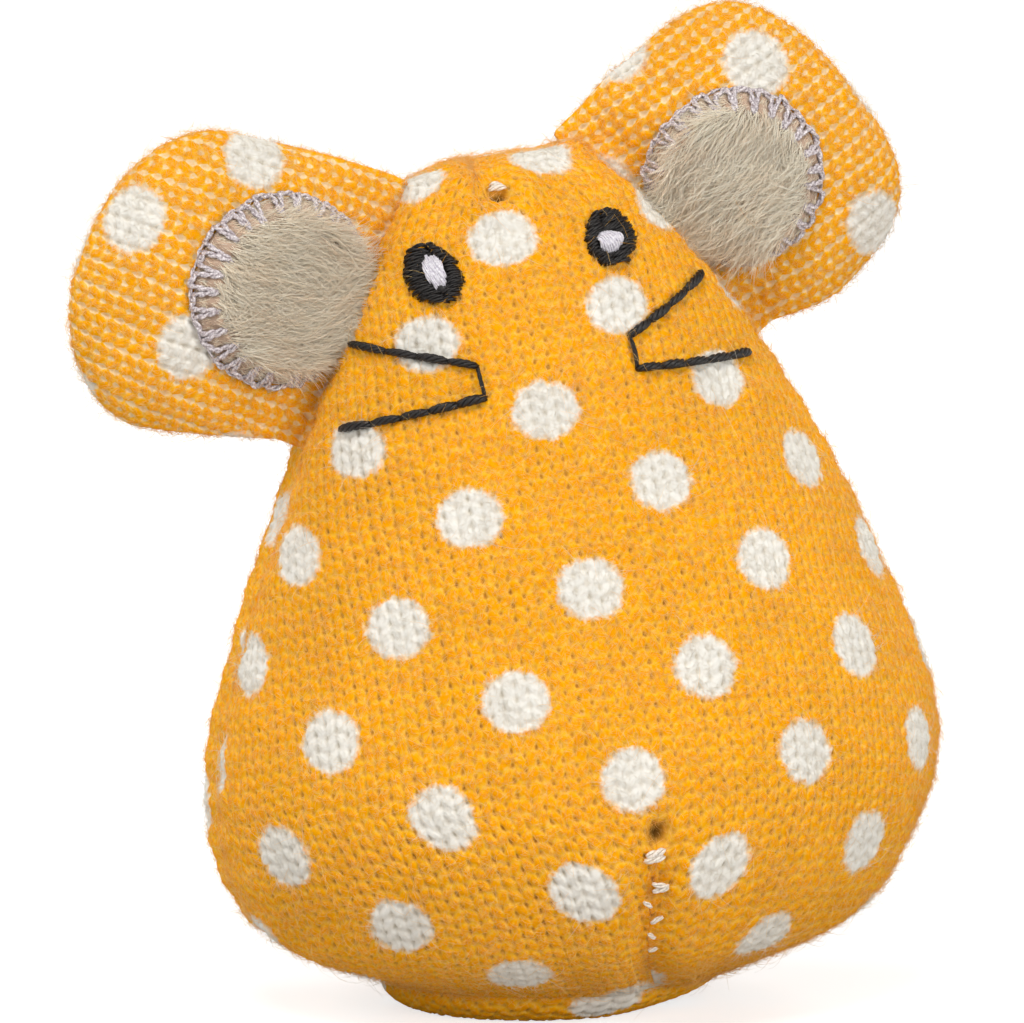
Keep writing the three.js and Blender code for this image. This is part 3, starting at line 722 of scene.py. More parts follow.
def dart_relief(across, climb):
    """Soft fold of the dart, with a deep hole at its top."""
    depth = np.clip((DART_TOP - climb) / 8, 0, 1) * np.clip((climb + 2) / 10, 0.3, 1)
    apart = np.abs(across - dart_line(climb))
    fold = -1.1 * depth * np.exp(-(apart / 1.9) ** 2) + 0.5 * depth * np.exp(-((apart - 4.5) / 3) ** 2)
    return fold - 1.2 * dart_hole(across, climb)


def dart_hole(across, climb):
    """Share of the hole at the top of the dart, where its first stitch pulls the loops apart; it also
    darkens the cloth there as painted shade.
    """
    apart = across - dart_line(climb)
    above = climb - DART_TOP + DART_HOLE_DROP
    return np.exp(-((apart / DART_HOLE[0]) ** 2) - (above / DART_HOLE[1]) ** 2)


def crown_fold(face, at, past_top):
    """How far cloth lies over to the other panel at the crown, and how far it rises there."""
    share, sink = CROWN_FOLD[face]
    ridge = CROWN_RIDGE * share
    over = np.clip(past_top, 0, ridge)
    puff = CROWN_PUFF * np.exp(-(CROWN - at) / CROWN_REACH)
    return over, puff - sink * over - np.clip(past_top - ridge, 0, HEM)


def body_panel(face, step, origin):
    """Knit panel of the front or the back: faces, points, normals, knit layers and bake map."""
    panel = Panel(face)
    top = panel.climb[-1]
    columns = np.arange(-CLOTH_HALF_WIDTH, CLOTH_HALF_WIDTH, step)
    rows = np.arange(-2 * HEM, CLOTH_HEIGHT, step)
    cloth_across, cloth_climb = np.meshgrid(columns, rows)
    across, climb = hung(cloth_across, cloth_climb)
    into_dart = np.full(across.shape, -9.0)
    if face == FRONT:
        across, into_dart = sewn_dart(across, climb)
    angle, at, past_side = panel.place(across, np.clip(climb, 0, top))
    past_top = climb - top
    past_base = -climb
    points = body_point(face, angle, at)
    normals = body_normal(face, angle, at)
    layers = knit_layers(cloth_across, cloth_climb, origin, KNIT_TURN, BODY_OPENING)
    height = layers["height"]
    if face == FRONT:
        # The holes at the dart and the forehead are painted darker: height and shade go towards zero
        # there, giving the hole colour and a darker tone, as painted shade
        whole = (1 - dart_hole(across, climb)) * (1 - forehead_hole(points))
        height *= whole
        layers["shade"] *= whole
    inside = np.clip(np.min([-past_side, climb, top - climb], axis=0) / 0.8, 0, 1)
    relief = body_relief(face, angle, at, points) + KNIT_RELIEF * (height - 0.7) * inside
    if face == FRONT:
        relief += dart_relief(across, climb)
        relief += forehead_relief(points, at)
    placed = points + normals * relief[..., None]
    inward = lean(np.zeros_like(at), np.zeros_like(at), at) - points
    turn_in = np.clip(np.maximum(past_side, past_base), 0, HEM)
    placed += normalised(inward) * turn_in[..., None]
    placed -= normals * np.clip(into_dart, 0, HEM)[..., None]
    over, rise = crown_fold(face, at, past_top)
    placed[..., 1] -= face * over
    placed[..., 2] += rise
    spare = np.max([past_side, past_base, into_dart, past_top], axis=0)
    outside = spare > HEM
    faces = grid_faces(outside)
    if face == BACK:
        faces = faces[:, ::-1]
    spread = np.stack([cloth_across / CLOTH_CHART + 0.5, cloth_climb / CLOTH_CHART + 0.1], -1)
    return knit_panel(faces, placed, normals, layers, spread)


def forehead_relief(points, at):
    """Pucker round the tack at the top of the forehead."""
    apart = np.linalg.norm(points - front_spot(*FOREHEAD_HOLE), axis=-1)
    near_crown = np.clip((CROWN - at) / 3, 0, 1)
    return 0.8 * np.exp(-((apart - 3.3) / 1.2) ** 2) * near_crown - 1.3 * forehead_hole(points)


def forehead_hole(points):
    """Share of the hole under the forehead's tack; it also darkens the cloth there as painted shade."""
    apart = np.linalg.norm((points - front_spot(*FOREHEAD_HOLE)) * (1, 1, 1.8), axis=-1)
    return np.exp(-(apart / 1.25) ** 2)


def front_angle(x, at):
    half = measure(1, at)
    return np.arcsin(np.clip(x / half, -1, 1))


def front_spot(x, at, lift=0.0):
    """Place on the front of the body, lifted off it."""
    x = np.asarray(x, dtype=float)
    at = np.asarray(at, dtype=float)
    angle = front_angle(x, at)
    points = body_point(FRONT, angle, at)
    normals = body_normal(FRONT, angle, at)
    return points + normals * (lift + body_relief(FRONT, angle, at, points))[..., None]


def front_normal(x, at):
    return body_normal(FRONT, front_angle(np.asarray(x, dtype=float), at), np.asarray(at, dtype=float))


class PolarSheet:
    """A sheet given by rays from a middle, with arc lengths along them."""

    def __init__(self, points, outward):
        arcs = arc_lengths(points, 1)
        self.points = points
        around = np.roll(points[:-1], -1, axis=0) - np.roll(points[:-1], 1, axis=0)
        around = np.concatenate([around, around[:1]])
        along = np.gradient(points, axis=1)
        normals = normalised(np.cross(around, along))
        normals[:, 0] = normals[:, 1].mean(axis=0)
        if normals[:, 0].mean(axis=0) @ np.array(outward) < 0:
            normals = -normals
        self.normals = normals
        self.reach = arcs[:, -1]
        self.columns = evenly(arcs, np.arange(points.shape[1]))

    def place(self, x, y):
        """Point, normal, share of the way to the edge and distance past it, at places on flat cloth."""
        rays = len(self.points) - 1
        row = (np.arctan2(y, x) / (2 * math.pi) % 1) * rays
        out = np.hypot(x, y)
        whole = np.clip(np.floor(row).astype(int), 0, rays - 1)
        reach = self.reach[whole] * (1 - (row - whole)) + self.reach[whole + 1] * (row - whole)
        share = np.clip(out / reach, 0, 1)
        column = bilinear(self.columns, row, share * (self.columns.shape[1] - 1))
        points = bilinear(self.points, row, column)
        normals = normalised(bilinear(self.normals, row, column))
        return points, normals, share, out - reach


def base_sheet():
    """Base panel as rays from its middle: flat, then rounded up to its seam."""
    rays = 160
    turns = np.linspace(0, 2 * math.pi, rays + 1)
    side = np.where(np.sin(turns) < 0, SECTIONS[0, 2], SECTIONS[0, 3])
    edge = np.stack([SECTIONS[0, 1] * np.cos(turns), side * np.sin(turns)], -1)
    flat = np.linspace(0, 1, 40)[:-1]
    round_up = np.linspace(0, 1, 20)
    rounding = BASE_ROUNDING + 5.0 * np.clip(np.cos(turns), 0, 1)[:, None] ** 2
    inner = edge * (1 - rounding / np.linalg.norm(edge, axis=-1, keepdims=True))
    floor = inner[:, None] * flat[None, :, None]
    wall = inner[:, None] + (edge - inner)[:, None] * (1 - (1 - round_up) ** 2.5)[None, :, None]
    plan = np.concatenate([floor, wall], axis=1)
    at = np.concatenate([np.zeros(len(flat)), (BASE_SEAM + 0.3) * round_up])
    return PolarSheet(lean(plan[..., 0], plan[..., 1], np.broadcast_to(at, plan.shape[:2])), (0, 0, -1))


def no_relief(points, share):
    return np.zeros(share.shape)


def knit_panel(faces, points, normals, layers, spread):
    """Grids of a panel as lists, without the points that no face uses."""
    used = np.unique(faces)
    renumber = np.zeros(points.shape[0] * points.shape[1], dtype=np.int64)
    renumber[used] = np.arange(len(used))
    flat = {key: values.reshape(len(renumber), -1)[used].squeeze() for key, values in layers.items()}
    grids = (points, normals, spread)
    points, normals, spread = (grid.reshape(len(renumber), -1)[used] for grid in grids)
    return renumber[faces], points, normals, flat, spread


def polar_panel(sheet, extent, turn, step, origin, gap, sink, relief):
    """Knit panel over a polar sheet, with its wales turned by an angle."""
    columns = np.arange(-extent, extent, step)
    cloth_across, cloth_climb = np.meshgrid(columns, columns)
    x = cloth_across * math.cos(turn) - cloth_climb * math.sin(turn)
    y = cloth_across * math.sin(turn) + cloth_climb * math.cos(turn)
    points, normals, share, past = sheet.place(x, y)
    layers = knit_layers(cloth_across, cloth_climb, origin, 0.0, gap)
    fade = np.clip(-past / 0.8, 0, 1)
    lift = KNIT_RELIEF * (layers["height"] - sink) + relief(points, share)
    placed = points + normals * (lift * fade)[..., None]
    outside = past > 0
    faces = grid_faces(outside)
    a, b, c = (placed.reshape(-1, 3)[faces[:, k]] for k in (0, 1, 2))
    facing = np.einsum("ij,ij->i", np.cross(b - a, c - b), normals.reshape(-1, 3)[faces[:, 0]])
    if np.median(facing) < 0:
        faces = faces[:, ::-1]
    spread = np.stack([cloth_across, cloth_climb], -1) / (2.2 * extent) + 0.5
    return knit_panel(faces, placed, normals, layers, spread)


def dress(piece, node, body):
    """Put a piece in the place of a node, on the node's body."""
    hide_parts(node)
    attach(piece, body)


def knit_piece(node, panel, material, body):
    faces, points, _, layers, spread = panel
    piece = mesh_object(f"{node}_knit", points, faces, material, layers, spread)
    dress(piece, node, body)


def fuzz_piece(name, panel, count, seed, material, body):
    """Loose fibres that stand and lie on a knit panel."""
    _, points, normals, layers, _ = panel
    random = np.random.default_rng(seed)
    stands = np.clip(layers["height"], 0, 1)
    roots = random.choice(len(points), count, p=stands / stands.sum())
    normal = normals[roots]
    aside = normalised(np.cross(normal, normalised(random.normal(size=(count, 3)))))
    bend = normalised(np.cross(normal, aside) + 0.4 * random.normal(size=(count, 3)))
    length = random.gamma(3.0, 0.2, size=count) + 0.25
    length = (length * np.where(random.uniform(size=count) < 0.1, 2.4, 1.0))[:, None, None]
    t = np.linspace(0, 1, 5)[None, :, None]
    rise = random.uniform(0.05, 0.45, size=count)[:, None, None]
    path = aside[:, None] * t + bend[:, None] * (0.5 * t ** 2)
    path = path + normal[:, None] * rise * np.sin(math.pi * 0.7 * t)
    paths = points[roots][:, None] + path * length
    radii = FUZZ_STRAND * (1 - 0.7 * np.linspace(0, 1, 5))
    mesh = strands(paths, radii, 3)
    layers = {"print": layers["print"][roots][mesh[2]], "shade": random.uniform(size=count)[mesh[2]]}
    piece = mesh_object(name, mesh[0], mesh[1], material, layers, strand_chart(count, 5, 3))
    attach(piece, body)


# Ears

class Ear:
    """Fold line of one ear and the shape of its lobe."""

    def __init__(self, name):
        side = SIDES[name]
        self.__dict__.update(EARS[name])
        at = np.linspace(CHEEK + EAR_FOOT, CROWN - EAR_HEAD, 25)
        seam = lean(side * section(at)[0], np.zeros_like(at), at)
        along = seam[-1] - seam[0]
        self.outward = normalised(np.array((side * along[2], 0, -side * along[0])))
        bulge = np.max((seam - seam[0]) @ self.outward)
        self.pivot = (seam[0] + seam[-1]) / 2 + self.outward * (bulge + EAR_GAP + EAR_FOLD_RADIUS)
        self.across = np.array((self.outward[2], 0, -self.outward[0]))
        self.tilt = math.asin(min(1.0, (self.patch[1] - PATCH_CUT - 0.8) / self.patch_radius))
        self.arc = math.pi + 2 * self.tilt
        self.loops = round(self.arc * self.patch_radius / ZIGZAG_PITCH)

    def world(self, x, y, out):
        spot = x[..., None] * self.across + out[..., None] * self.outward + self.pivot
        spot[..., 1] += y
        return spot

    def section(self, out):
        """Half width, half thickness and middle at distances from the fold line."""
        near = np.clip(out / self.widest, 0, 1)
        far = np.clip((out - self.widest) / (self.reach - self.widest), 0, 1)
        swell = np.sin(math.pi / 2 * near)
        close = (1 - far ** self.roundness) ** (1 / self.roundness)
        half = (self.base + (self.width / 2 - self.base) * swell) * close
        thick = (EAR_FOLD_RADIUS + (EAR_THICKNESS / 2 - EAR_FOLD_RADIUS) * swell) * close
        return half, thick, self.shift + (self.droop - self.shift) * near

    def depth(self, x, out):
        half, thick, middle = self.section(out)
        across = np.clip((x - middle) / np.maximum(half, 1e-6), -1, 1)
        return thick * np.sqrt(1 - across ** 2)

    def sheet(self, face):
        """One face of the lobe, as rays from its widest place."""
        rays, steps = 240, 90
        turns = np.linspace(0, 2 * math.pi, rays + 1)
        low, high = np.zeros(rays + 1), np.full(rays + 1, 60.0)
        for _ in range(40):
            middle = (low + high) / 2
            x, out = self.spot(turns, middle)
            half, _, offset = self.section(out)
            inside = (np.abs(x - offset) < half) & (out > -EAR_TUCK) & (out < self.reach)
            low = np.where(inside, middle, low)
            high = np.where(inside, high, middle)
        shares = np.sin(math.pi / 2 * np.linspace(0, 1, steps))
        x, out = self.spot(turns[:, None], low[:, None] * shares)
        return PolarSheet(self.world(x, face * self.depth(x, out), out), (0, face, 0))

    def spot(self, turns, reach):
        return self.droop + reach * np.cos(turns), self.widest + reach * np.sin(turns)

    def front(self, x, out, lift):
        """Place on the front face, lifted off it along its normal."""
        step = 0.05
        depth = self.depth(x, out)
        slope_x = (self.depth(x + step, out) - self.depth(x - step, out)) / (2 * step)
        slope_out = (self.depth(x, out + step) - self.depth(x, out - step)) / (2 * step)
        tilt = slope_x[..., None] * self.across + slope_out[..., None] * self.outward
        normal = normalised((0, -1, 0) - tilt)
        return self.world(x, -depth, out) + normal * np.asarray(lift)[..., None], normal

    def patch_spot(self, turns, reach):
        return self.patch[0] + reach * np.cos(turns), self.patch[1] + reach * np.sin(turns)

    def patch_edge(self, turns):
        """How far the patch reaches from its middle: a circle, cut straight along the head."""
        down = -np.sin(turns)
        cut = self.patch[1] - PATCH_CUT
        return np.where(down * self.patch_radius > cut, cut / np.maximum(down, 1e-6), self.patch_radius)

    def patch_place(self, turns, reach, lift):
        x, out = self.patch_spot(turns, reach)
        return self.front(x, out, lift)

    def pile(self, reach):
        """How full the pile stands, 0 to 1: pressed flat under the stitching round the edge."""
        inside = np.clip((0.93 - reach / self.patch_radius) / 0.16, 0, 1)
        return inside * inside * (3 - 2 * inside)

    def patch_lift(self, turns, reach):
        """How high the patch stands: full inside, and in puffs between the stitches round its edge."""
        share = reach / self.patch_radius
        band = np.clip((share - 0.7) / 0.1, 0, 1) * np.clip((1 - share) / 0.06, 0, 1)
        puff = 0.5 + 0.5 * np.cos(2 * math.pi * (turns + self.tilt) / self.arc * self.loops)
        return 0.3 + PATCH_EDGE + PATCH_PILE * self.pile(reach) + PATCH_PUFF * band * puff


def ear_relief(points, share):
    """Lumps of the padding, and the gathers where the two faces are sewn together."""
    rim = np.clip((share - 0.8) / 0.2, 0, 1)
    return 0.25 * noise(points, 7.0, 31) + 0.12 * rim * noise(points, 2.2, 32)


def plush_pad(ear):
    """Pad under the strands, with a skirt down to the ear: points and triangles."""
    rays, rings = 144, 20
    turns = np.tile(np.linspace(0, 2 * math.pi, rays, endpoint=False), (rings, 1))
    reach = np.linspace(0.02, 1, rings)[:, None] * ear.patch_edge(turns)
    pad, _ = ear.patch_place(turns, reach, ear.patch_lift(turns, reach) - 0.5)
    skirt, _ = ear.patch_place(turns[-1:], reach[-1:], np.full((1, rays), -0.2))
    return np.concatenate([pad, skirt]).reshape(-1, 3), ring_faces(rings + 1, rays)


def plush_strands(ear, seed):
    """Short strands combed one way over the pad: paths, radii and the shade of each."""
    random = np.random.default_rng(seed)
    count, length = PLUSH_STRANDS, 7
    turn = random.uniform(0, 2 * math.pi, count)
    out = np.sqrt(random.uniform(0, 1, count)) * ear.patch_edge(turn)
    roots, normal = ear.patch_place(turn, out, ear.patch_lift(turn, out) - 0.55)
    full = ear.pile(out)
    swirl = ear.flow + 0.8 * noise(roots, 3.6, seed) + 0.3 * random.normal(size=count)
    comb = np.cos(swirl)[:, None] * ear.across + np.sin(swirl)[:, None] * ear.outward
    comb = normalised(comb - normal * np.sum(comb * normal, axis=-1, keepdims=True))
    t = np.linspace(0, 1, length)[None, :, None]
    far = (random.uniform(0.6, 1.3, count) + full * random.uniform(1.0, 3.2, count))[:, None, None]
    rise = random.uniform(0.15, 0.5, count)[:, None, None]
    curl = normalised(np.cross(normal, comb)) * random.normal(0, 0.25, count)[:, None]
    bend = comb[:, None] * (0.25 * t + 0.75 * t ** 1.5) + curl[:, None] * t ** 2
    paths = roots[:, None] + far * (bend + normal[:, None] * rise * np.sin(math.pi * 0.62 * t))
    radii = PLUSH_STRAND * (1 - 0.8 * np.linspace(0, 1, length) ** 1.5)
    shade = 0.66 + 0.26 * full + 0.28 * noise(roots, 1.4, seed + 1) + 0.2 * random.normal(size=count)
    return paths, radii, np.clip(shade, 0, 1)


def plush_patch(node, ear, seed, material, body):
    """Cut plush: a pad under thousands of short strands that lie over one another."""
    pad, pad_faces = plush_pad(ear)
    paths, radii, shade = plush_strands(ear, seed)
    hair, hair_faces, owner = strands(paths, radii, 3)
    points = np.concatenate([pad, hair])
    faces = np.concatenate([pad_faces, hair_faces + len(pad)])
    layers = {"shade": np.concatenate([np.full(len(pad), PLUSH_PAD_SHADE), shade[owner]])}
    flat = np.stack([(pad - ear.pivot) @ ear.across, (pad - ear.pivot) @ ear.outward], -1)
    hair_chart = strand_chart(*paths.shape[:2], 3)
    chart = np.concatenate([flat * 0.018 + (0.25, 0.2), hair_chart * 0.48 + 0.51])
    piece = mesh_object(f"{node}_pile", points, faces, material, layers, chart)
    dress(piece, node, body)


def zigzag(node, ear, seed, material, body):
    """Machine stitches over the patch's round edge: narrow loops of thread, joined along the rim."""
    random = np.random.default_rng(seed)
    middle = (np.arange(ear.loops) + 0.5) / ear.loops * ear.arc - ear.tilt
    middle = middle + random.normal(0, 0.025, ear.loops)
    spread = ZIGZAG_SPREAD / ear.patch_radius * random.uniform(0.7, 1.3, ear.loops)
    turns = np.stack([middle - spread, middle, middle + spread], -1).ravel()
    out = np.tile((ZIGZAG_OUT, -ZIGZAG_IN, ZIGZAG_OUT), ear.loops) + random.normal(0, 0.2, len(turns))
    steps = 14
    t = np.arange(steps) / steps
    angle = (turns[:-1, None] + (turns[1:] - turns[:-1])[:, None] * t).ravel()
    past = (out[:-1, None] + (out[1:] - out[:-1])[:, None] * (0.5 - 0.5 * np.cos(math.pi * t))).ravel()
    reach = ear.patch_radius + past
    on_patch = np.clip(-past / 0.6 + 0.4, 0, 1)
    arch = np.tile(np.sin(math.pi * t) ** 0.7, len(turns) - 1)
    lift = 0.25 + on_patch * (ear.patch_lift(angle, reach) - 0.3) * 0.7 + 0.5 * arch
    place, normal = ear.patch_place(angle, reach, lift)
    paths = plied(place, normal, ZIGZAG_THREAD * 0.25, 2, 2.2)
    rim = np.linspace(-ear.tilt, ear.arc - ear.tilt, len(place))
    edge = ear.patch_radius + 0.35 + 0.1 * np.sin(rim * 2 * ear.loops / ear.arc * math.pi)
    looped, upright = ear.patch_place(rim, edge, np.full(len(rim), 0.4))
    paths = np.concatenate([paths, plied(looped, upright, ZIGZAG_THREAD * 0.16, 2, 2.2)])
    thick = np.array((0.32, 0.32, 0.2, 0.2)) * ZIGZAG_THREAD
    mesh = strands(paths, np.repeat(thick[:, None], len(place), axis=1), 6)
    chart = strand_chart(len(paths), len(place), 6)
    piece = mesh_object(f"{node}_thread", mesh[0], mesh[1], material, None, chart)
    dress(piece, node, body)


# Embroidery

def spindles(ends, lift, radius, plies, seed, thin=0.4):
    """Short stitches on the front, each a swelling bundle of plies between two places."""
    random = np.random.default_rng(seed)
    length = 12
    t = np.linspace(0, 1, length)
    paths = []
    radii = []
    for first, second in ends:
        x = first[0] + (second[0] - first[0]) * t
        at = first[1] + (second[1] - first[1]) * t
        arch = np.sin(math.pi * t)
        path = front_spot(x, at, lift * (0.15 + 0.85 * arch ** 0.6))
        swell = radius * (thin + (1 - thin) * arch ** 0.6) * random.uniform(0.88, 1.12)
        bundle = plied(path, front_normal(x, at), swell * 0.56, plies, 3.2, random.uniform(0, 6.3))
        paths.extend(bundle)
        radii.extend([swell * 0.46] * plies)
    return np.array(paths), np.array(radii)


def blob(x0, at0, half_width, half_height, egg, lift, seed):
    """Low uneven pad on the front, narrower above: points and triangles."""
    rays, rings = 48, 10
    turns = np.tile(np.linspace(0, 2 * math.pi, rays, endpoint=False), (rings, 1))
    share = np.tile(np.linspace(0, 1, rings)[:, None], (1, rays))
    circle = np.stack([np.cos(turns), np.sin(turns)], -1)
    wobble = 1 + 0.07 * noise(circle * 3, 1.0, seed)
    x = x0 + share * half_width * (1 - egg * np.sin(turns)) * wobble * np.cos(turns)
    at = at0 + share * half_height * wobble * np.sin(turns)
    rough = noise(np.stack([x, at], -1), 0.5, seed + 1)
    height = lift * (1 - share ** 5) * (1 + 0.2 * rough) - 0.3 * share ** 8
    return front_spot(x, at, height).reshape(-1, 3), ring_faces(rings, rays)


def stitch_piece(node, paths, radii, material, pad=None):
    """Strands on the body, over a pad where there is one."""
    mesh = strands(paths, radii, 7)
    points, faces = mesh[:2]
    chart = strand_chart(len(paths), paths.shape[1], 7)
    if pad is not None:
        flat = pad[0][:, ::2]
        flat = (flat - flat.min(axis=0)) / np.ptp(flat, axis=0).max()
        chart = np.concatenate([chart * 0.5, flat * 0.45 + 0.52])
        faces = np.concatenate([faces, pad[1] + len(points)])
        points = np.concatenate([points, pad[0]])
    piece = mesh_object(f"{node}_strands", points, faces, material, None, chart)
    dress(piece, node, "body")


def line_stitches(places, length):
    """Ends of the stitches along a line of places."""
    ends = []
    for first, second in zip(places[:-1], places[1:]):
        span = np.subtract(second, first)
        count = max(1, round(float(np.hypot(*span)) / length))
        for i in range(count):
            start = np.add(first, span * (i - 0.02) / count)
            ends.append((start, np.add(first, span * (i + 1.02) / count)))
    return ends


def whisker(node, side, material):
    """Two backstitched lines, joined by a thin strand at their inner ends."""
    root = CROWN - WHISKER_DROP
    link = root - WHISKER_LINK
    inner = side * WHISKER_ROOT + FACE_SHIFT
    inner_top = (inner, root)
    inner_low = (inner, link)
    outer_top = (inner + side * UPPER_WHISKER[0], root + UPPER_WHISKER[1])
    outer_low = (inner + side * LOWER_WHISKER[0], link + LOWER_WHISKER[1])
    lines = line_stitches([outer_top, inner_top], WHISKER_STITCH)
    lines += line_stitches([inner_low, outer_low], WHISKER_STITCH)
    paths, radii = spindles(lines, 0.7, WHISKER_THREAD / 2, plies=4, seed=40 + side, thin=0.6)
    joint = [(inner_top, inner_low)]
    thin_paths, thin_radii = spindles(
        joint, 0.6, WHISKER_LINK_THREAD / 2, plies=4, seed=50 + side, thin=0.8)
    paths = np.concatenate([paths, thin_paths])
    radii = np.concatenate([radii, thin_radii])
    stitch_piece(node, paths, radii, material)


def eye_ring(node, side, material):
    """Black satin stitches in level rows over a pad, parted in the middle by the highlight."""
    random = np.random.default_rng(60 + side)
    x0, at0, half_width, half_height, egg = EYES[side]
    light_x, light_at, light_width, light_height, _ = HIGHLIGHTS[side]
    ends = []
    for level in np.linspace(-0.93, 0.93, EYE_ROWS):
        at = at0 + half_height * level
        wide = half_width * (1 - egg * level) * math.sqrt(1 - 0.92 * level ** 2)
        left, right = x0 - wide, x0 + wide
        near = (at - light_at) / light_height
        gap = light_width * math.sqrt(1 - near ** 2) if abs(near) < 1 else 0.0
        for first, second in ((left, light_x - gap), (light_x + gap, right)):
            tilt = random.normal(0, 0.1)
            stretch = random.normal(0, 0.09, 2)
            ends.append(((first + stretch[0] - 0.1, at - tilt), (second + stretch[1] + 0.1, at + tilt)))
    paths, radii = spindles(ends, EYE_LIFT, EYE_STITCH / 2, plies=3, seed=70 + side, thin=0.85)
    pad = blob(x0, at0, half_width, half_height, egg, EYE_PAD, 75 + side)
    stitch_piece(node, paths, radii, material, pad)


def eye_highlight(node, side, material):
    """Pale satin stitches side by side, longest in the middle."""
    random = np.random.default_rng(80 + side)
    x0, at0, half_width, half_height, tilt = HIGHLIGHTS[side]
    ends = []
    for i in range(HIGHLIGHT_STITCHES):
        shift = (i + 0.5) / HIGHLIGHT_STITCHES * 2 - 1
        half = half_height * math.sqrt(1 - 0.8 * shift ** 2) * random.uniform(0.88, 1.1)
        x = x0 + half_width * shift
        lean_x = half * math.sin(tilt)
        lean_at = half * math.cos(tilt)
        ends.append(((x + lean_x, at0 - lean_at), (x - lean_x, at0 + lean_at)))
    paths, radii = spindles(ends, HIGHLIGHT_LIFT, HIGHLIGHT_STITCH / 2, plies=3, seed=90 + side, thin=0.7)
    stitch_piece(node, paths, radii, material)


def dart_thread(node, material):
    """White stitches that close the dart: bare loops at its top, and smaller ones in the fold below."""
    paths = []
    radii = []
    for i, (x, at, half, slope, thick) in enumerate(DART_STITCHES):
        ends = [((x - half, at - half * slope), (x + half, at + half * slope))]
        bundle, swell = spindles(ends, 0.5 * half - 0.25, thick, plies=3, seed=101 + i, thin=0.5)
        paths.extend(bundle)
        radii.extend(swell)
    stitch_piece(node, np.array(paths), np.array(radii), material)


def forehead_thread(node, material):
    paths, radii = spindles(FOREHEAD_STITCHES, 0.3, FOREHEAD_THREAD / 2, plies=3, seed=103)
    stitch_piece(node, paths, radii, material)


# Filling

def filling(node, material, size, amount, body):
    """Hidden filling: the node's form, shrunk a little and unevenly."""
    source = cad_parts[node]
    mesh = source.data.copy()
    mesh.materials.clear()
    mesh.materials.append(material)
    piece = bpy.data.objects.new(f"{node}_form", mesh)
    bpy.context.collection.objects.link(piece)
    points = np.empty(len(mesh.vertices) * 3)
    mesh.vertices.foreach_get("co", points)
    points = points.reshape(-1, 3) / MM
    centre = points.mean(axis=0)
    shrink = 0.95 - amount * (0.5 + 0.5 * noise(points, size, 7))
    mesh.vertices.foreach_set("co", ((centre + (points - centre) * shrink[:, None]) * MM).ravel())
    mesh.update()
    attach(piece, body)
    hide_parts(node)


# Stage

def area_light(name, place, energy):
    lamp = bpy.data.lights.new(name, "AREA")
    lamp.energy = energy
    lamp.shape = "DISK"
    lamp.size = LAMP_SIZE
    lamp.color = LAMP_COLOUR
    light = bpy.data.objects.new(name, lamp)
    light.location = place
    aim = Vector(LAMP_TARGET) - light.location
    light.rotation_euler = aim.to_track_quat("-Z", "Y").to_euler()
    bpy.context.collection.objects.link(light)


def sweep_material():
    """White that keeps the toy's shadow, with a glow only where it is seen."""
    material = bpy.data.materials.new("sweep")
    material.use_nodes = True
    tree = material.node_tree
    shader = tree.nodes["Principled BSDF"]
    feed(tree, shader, {"Base Color": grey(FLOOR_SHADE), "Roughness": 0.9})
    glow = tree.nodes.new("ShaderNodeEmission")
    feed(tree, glow, {"Strength": seen_strength(tree, 0.0, FLOOR_GLOW)})
    total = tree.nodes.new("ShaderNodeAddShader")
    feed(tree, total, {0: shader.outputs["BSDF"], 1: glow.outputs["Emission"]})
    feed(tree, tree.nodes["Material Output"], {"Surface": total.outputs["Shader"]})
    return material


def sweep():
    """Floor that turns up into a backdrop."""
    turn = np.linspace(0, math.pi / 2, 24)
    far = SWEEP_BEND + SWEEP_RADIUS * np.sin(turn)
    high = SWEEP_RADIUS * (1 - np.cos(turn))
    far = np.concatenate([[SWEEP_NEAR], far, far[-1:]])
    high = np.concatenate([[0], high, [SWEEP_TOP]])
    x = np.tile((-SWEEP_WIDTH / 2, SWEEP_WIDTH / 2), len(far))
    points = np.stack([x, np.repeat(far, 2), np.repeat(high, 2)], -1)
    first = np.arange(len(far) - 1)[:, None] * 2
    faces = np.concatenate([first, first + 1, first + 3, first + 2], axis=1)
    floor = mesh_object("sweep", points, faces, sweep_material())


def sky():
    """Even light from all round, seen as white."""
    world = bpy.data.worlds.new("studio")
    world.use_nodes = True
    tree = world.node_tree
    strength = seen_strength(tree, SKY_LIGHT, 1.0)
    feed(tree, tree.nodes["Background"], {"Color": (*LAMP_COLOUR, 1.0), "Strength": strength})
    bpy.context.scene.world = world


def seen_strength(tree, unseen, seen):
    """Strength of a glow as light on the toy, and as the camera, glossy and clear surfaces see it."""
    path = tree.nodes.new("ShaderNodeLightPath")
    share = path.outputs["Is Camera Ray"]
    for ray in ("Is Glossy Ray", "Is Transmission Ray"):
        either = tree.nodes.new("ShaderNodeMath")
        either.operation = "MAXIMUM"
        feed(tree, either, {0: share, 1: path.outputs[ray]})
        share = either.outputs[0]
    strength = tree.nodes.new("ShaderNodeMapRange")
    feed(tree, strength, {"To Min": unseen, "To Max": seen, "Value": share})
    return strength.outputs["Result"]


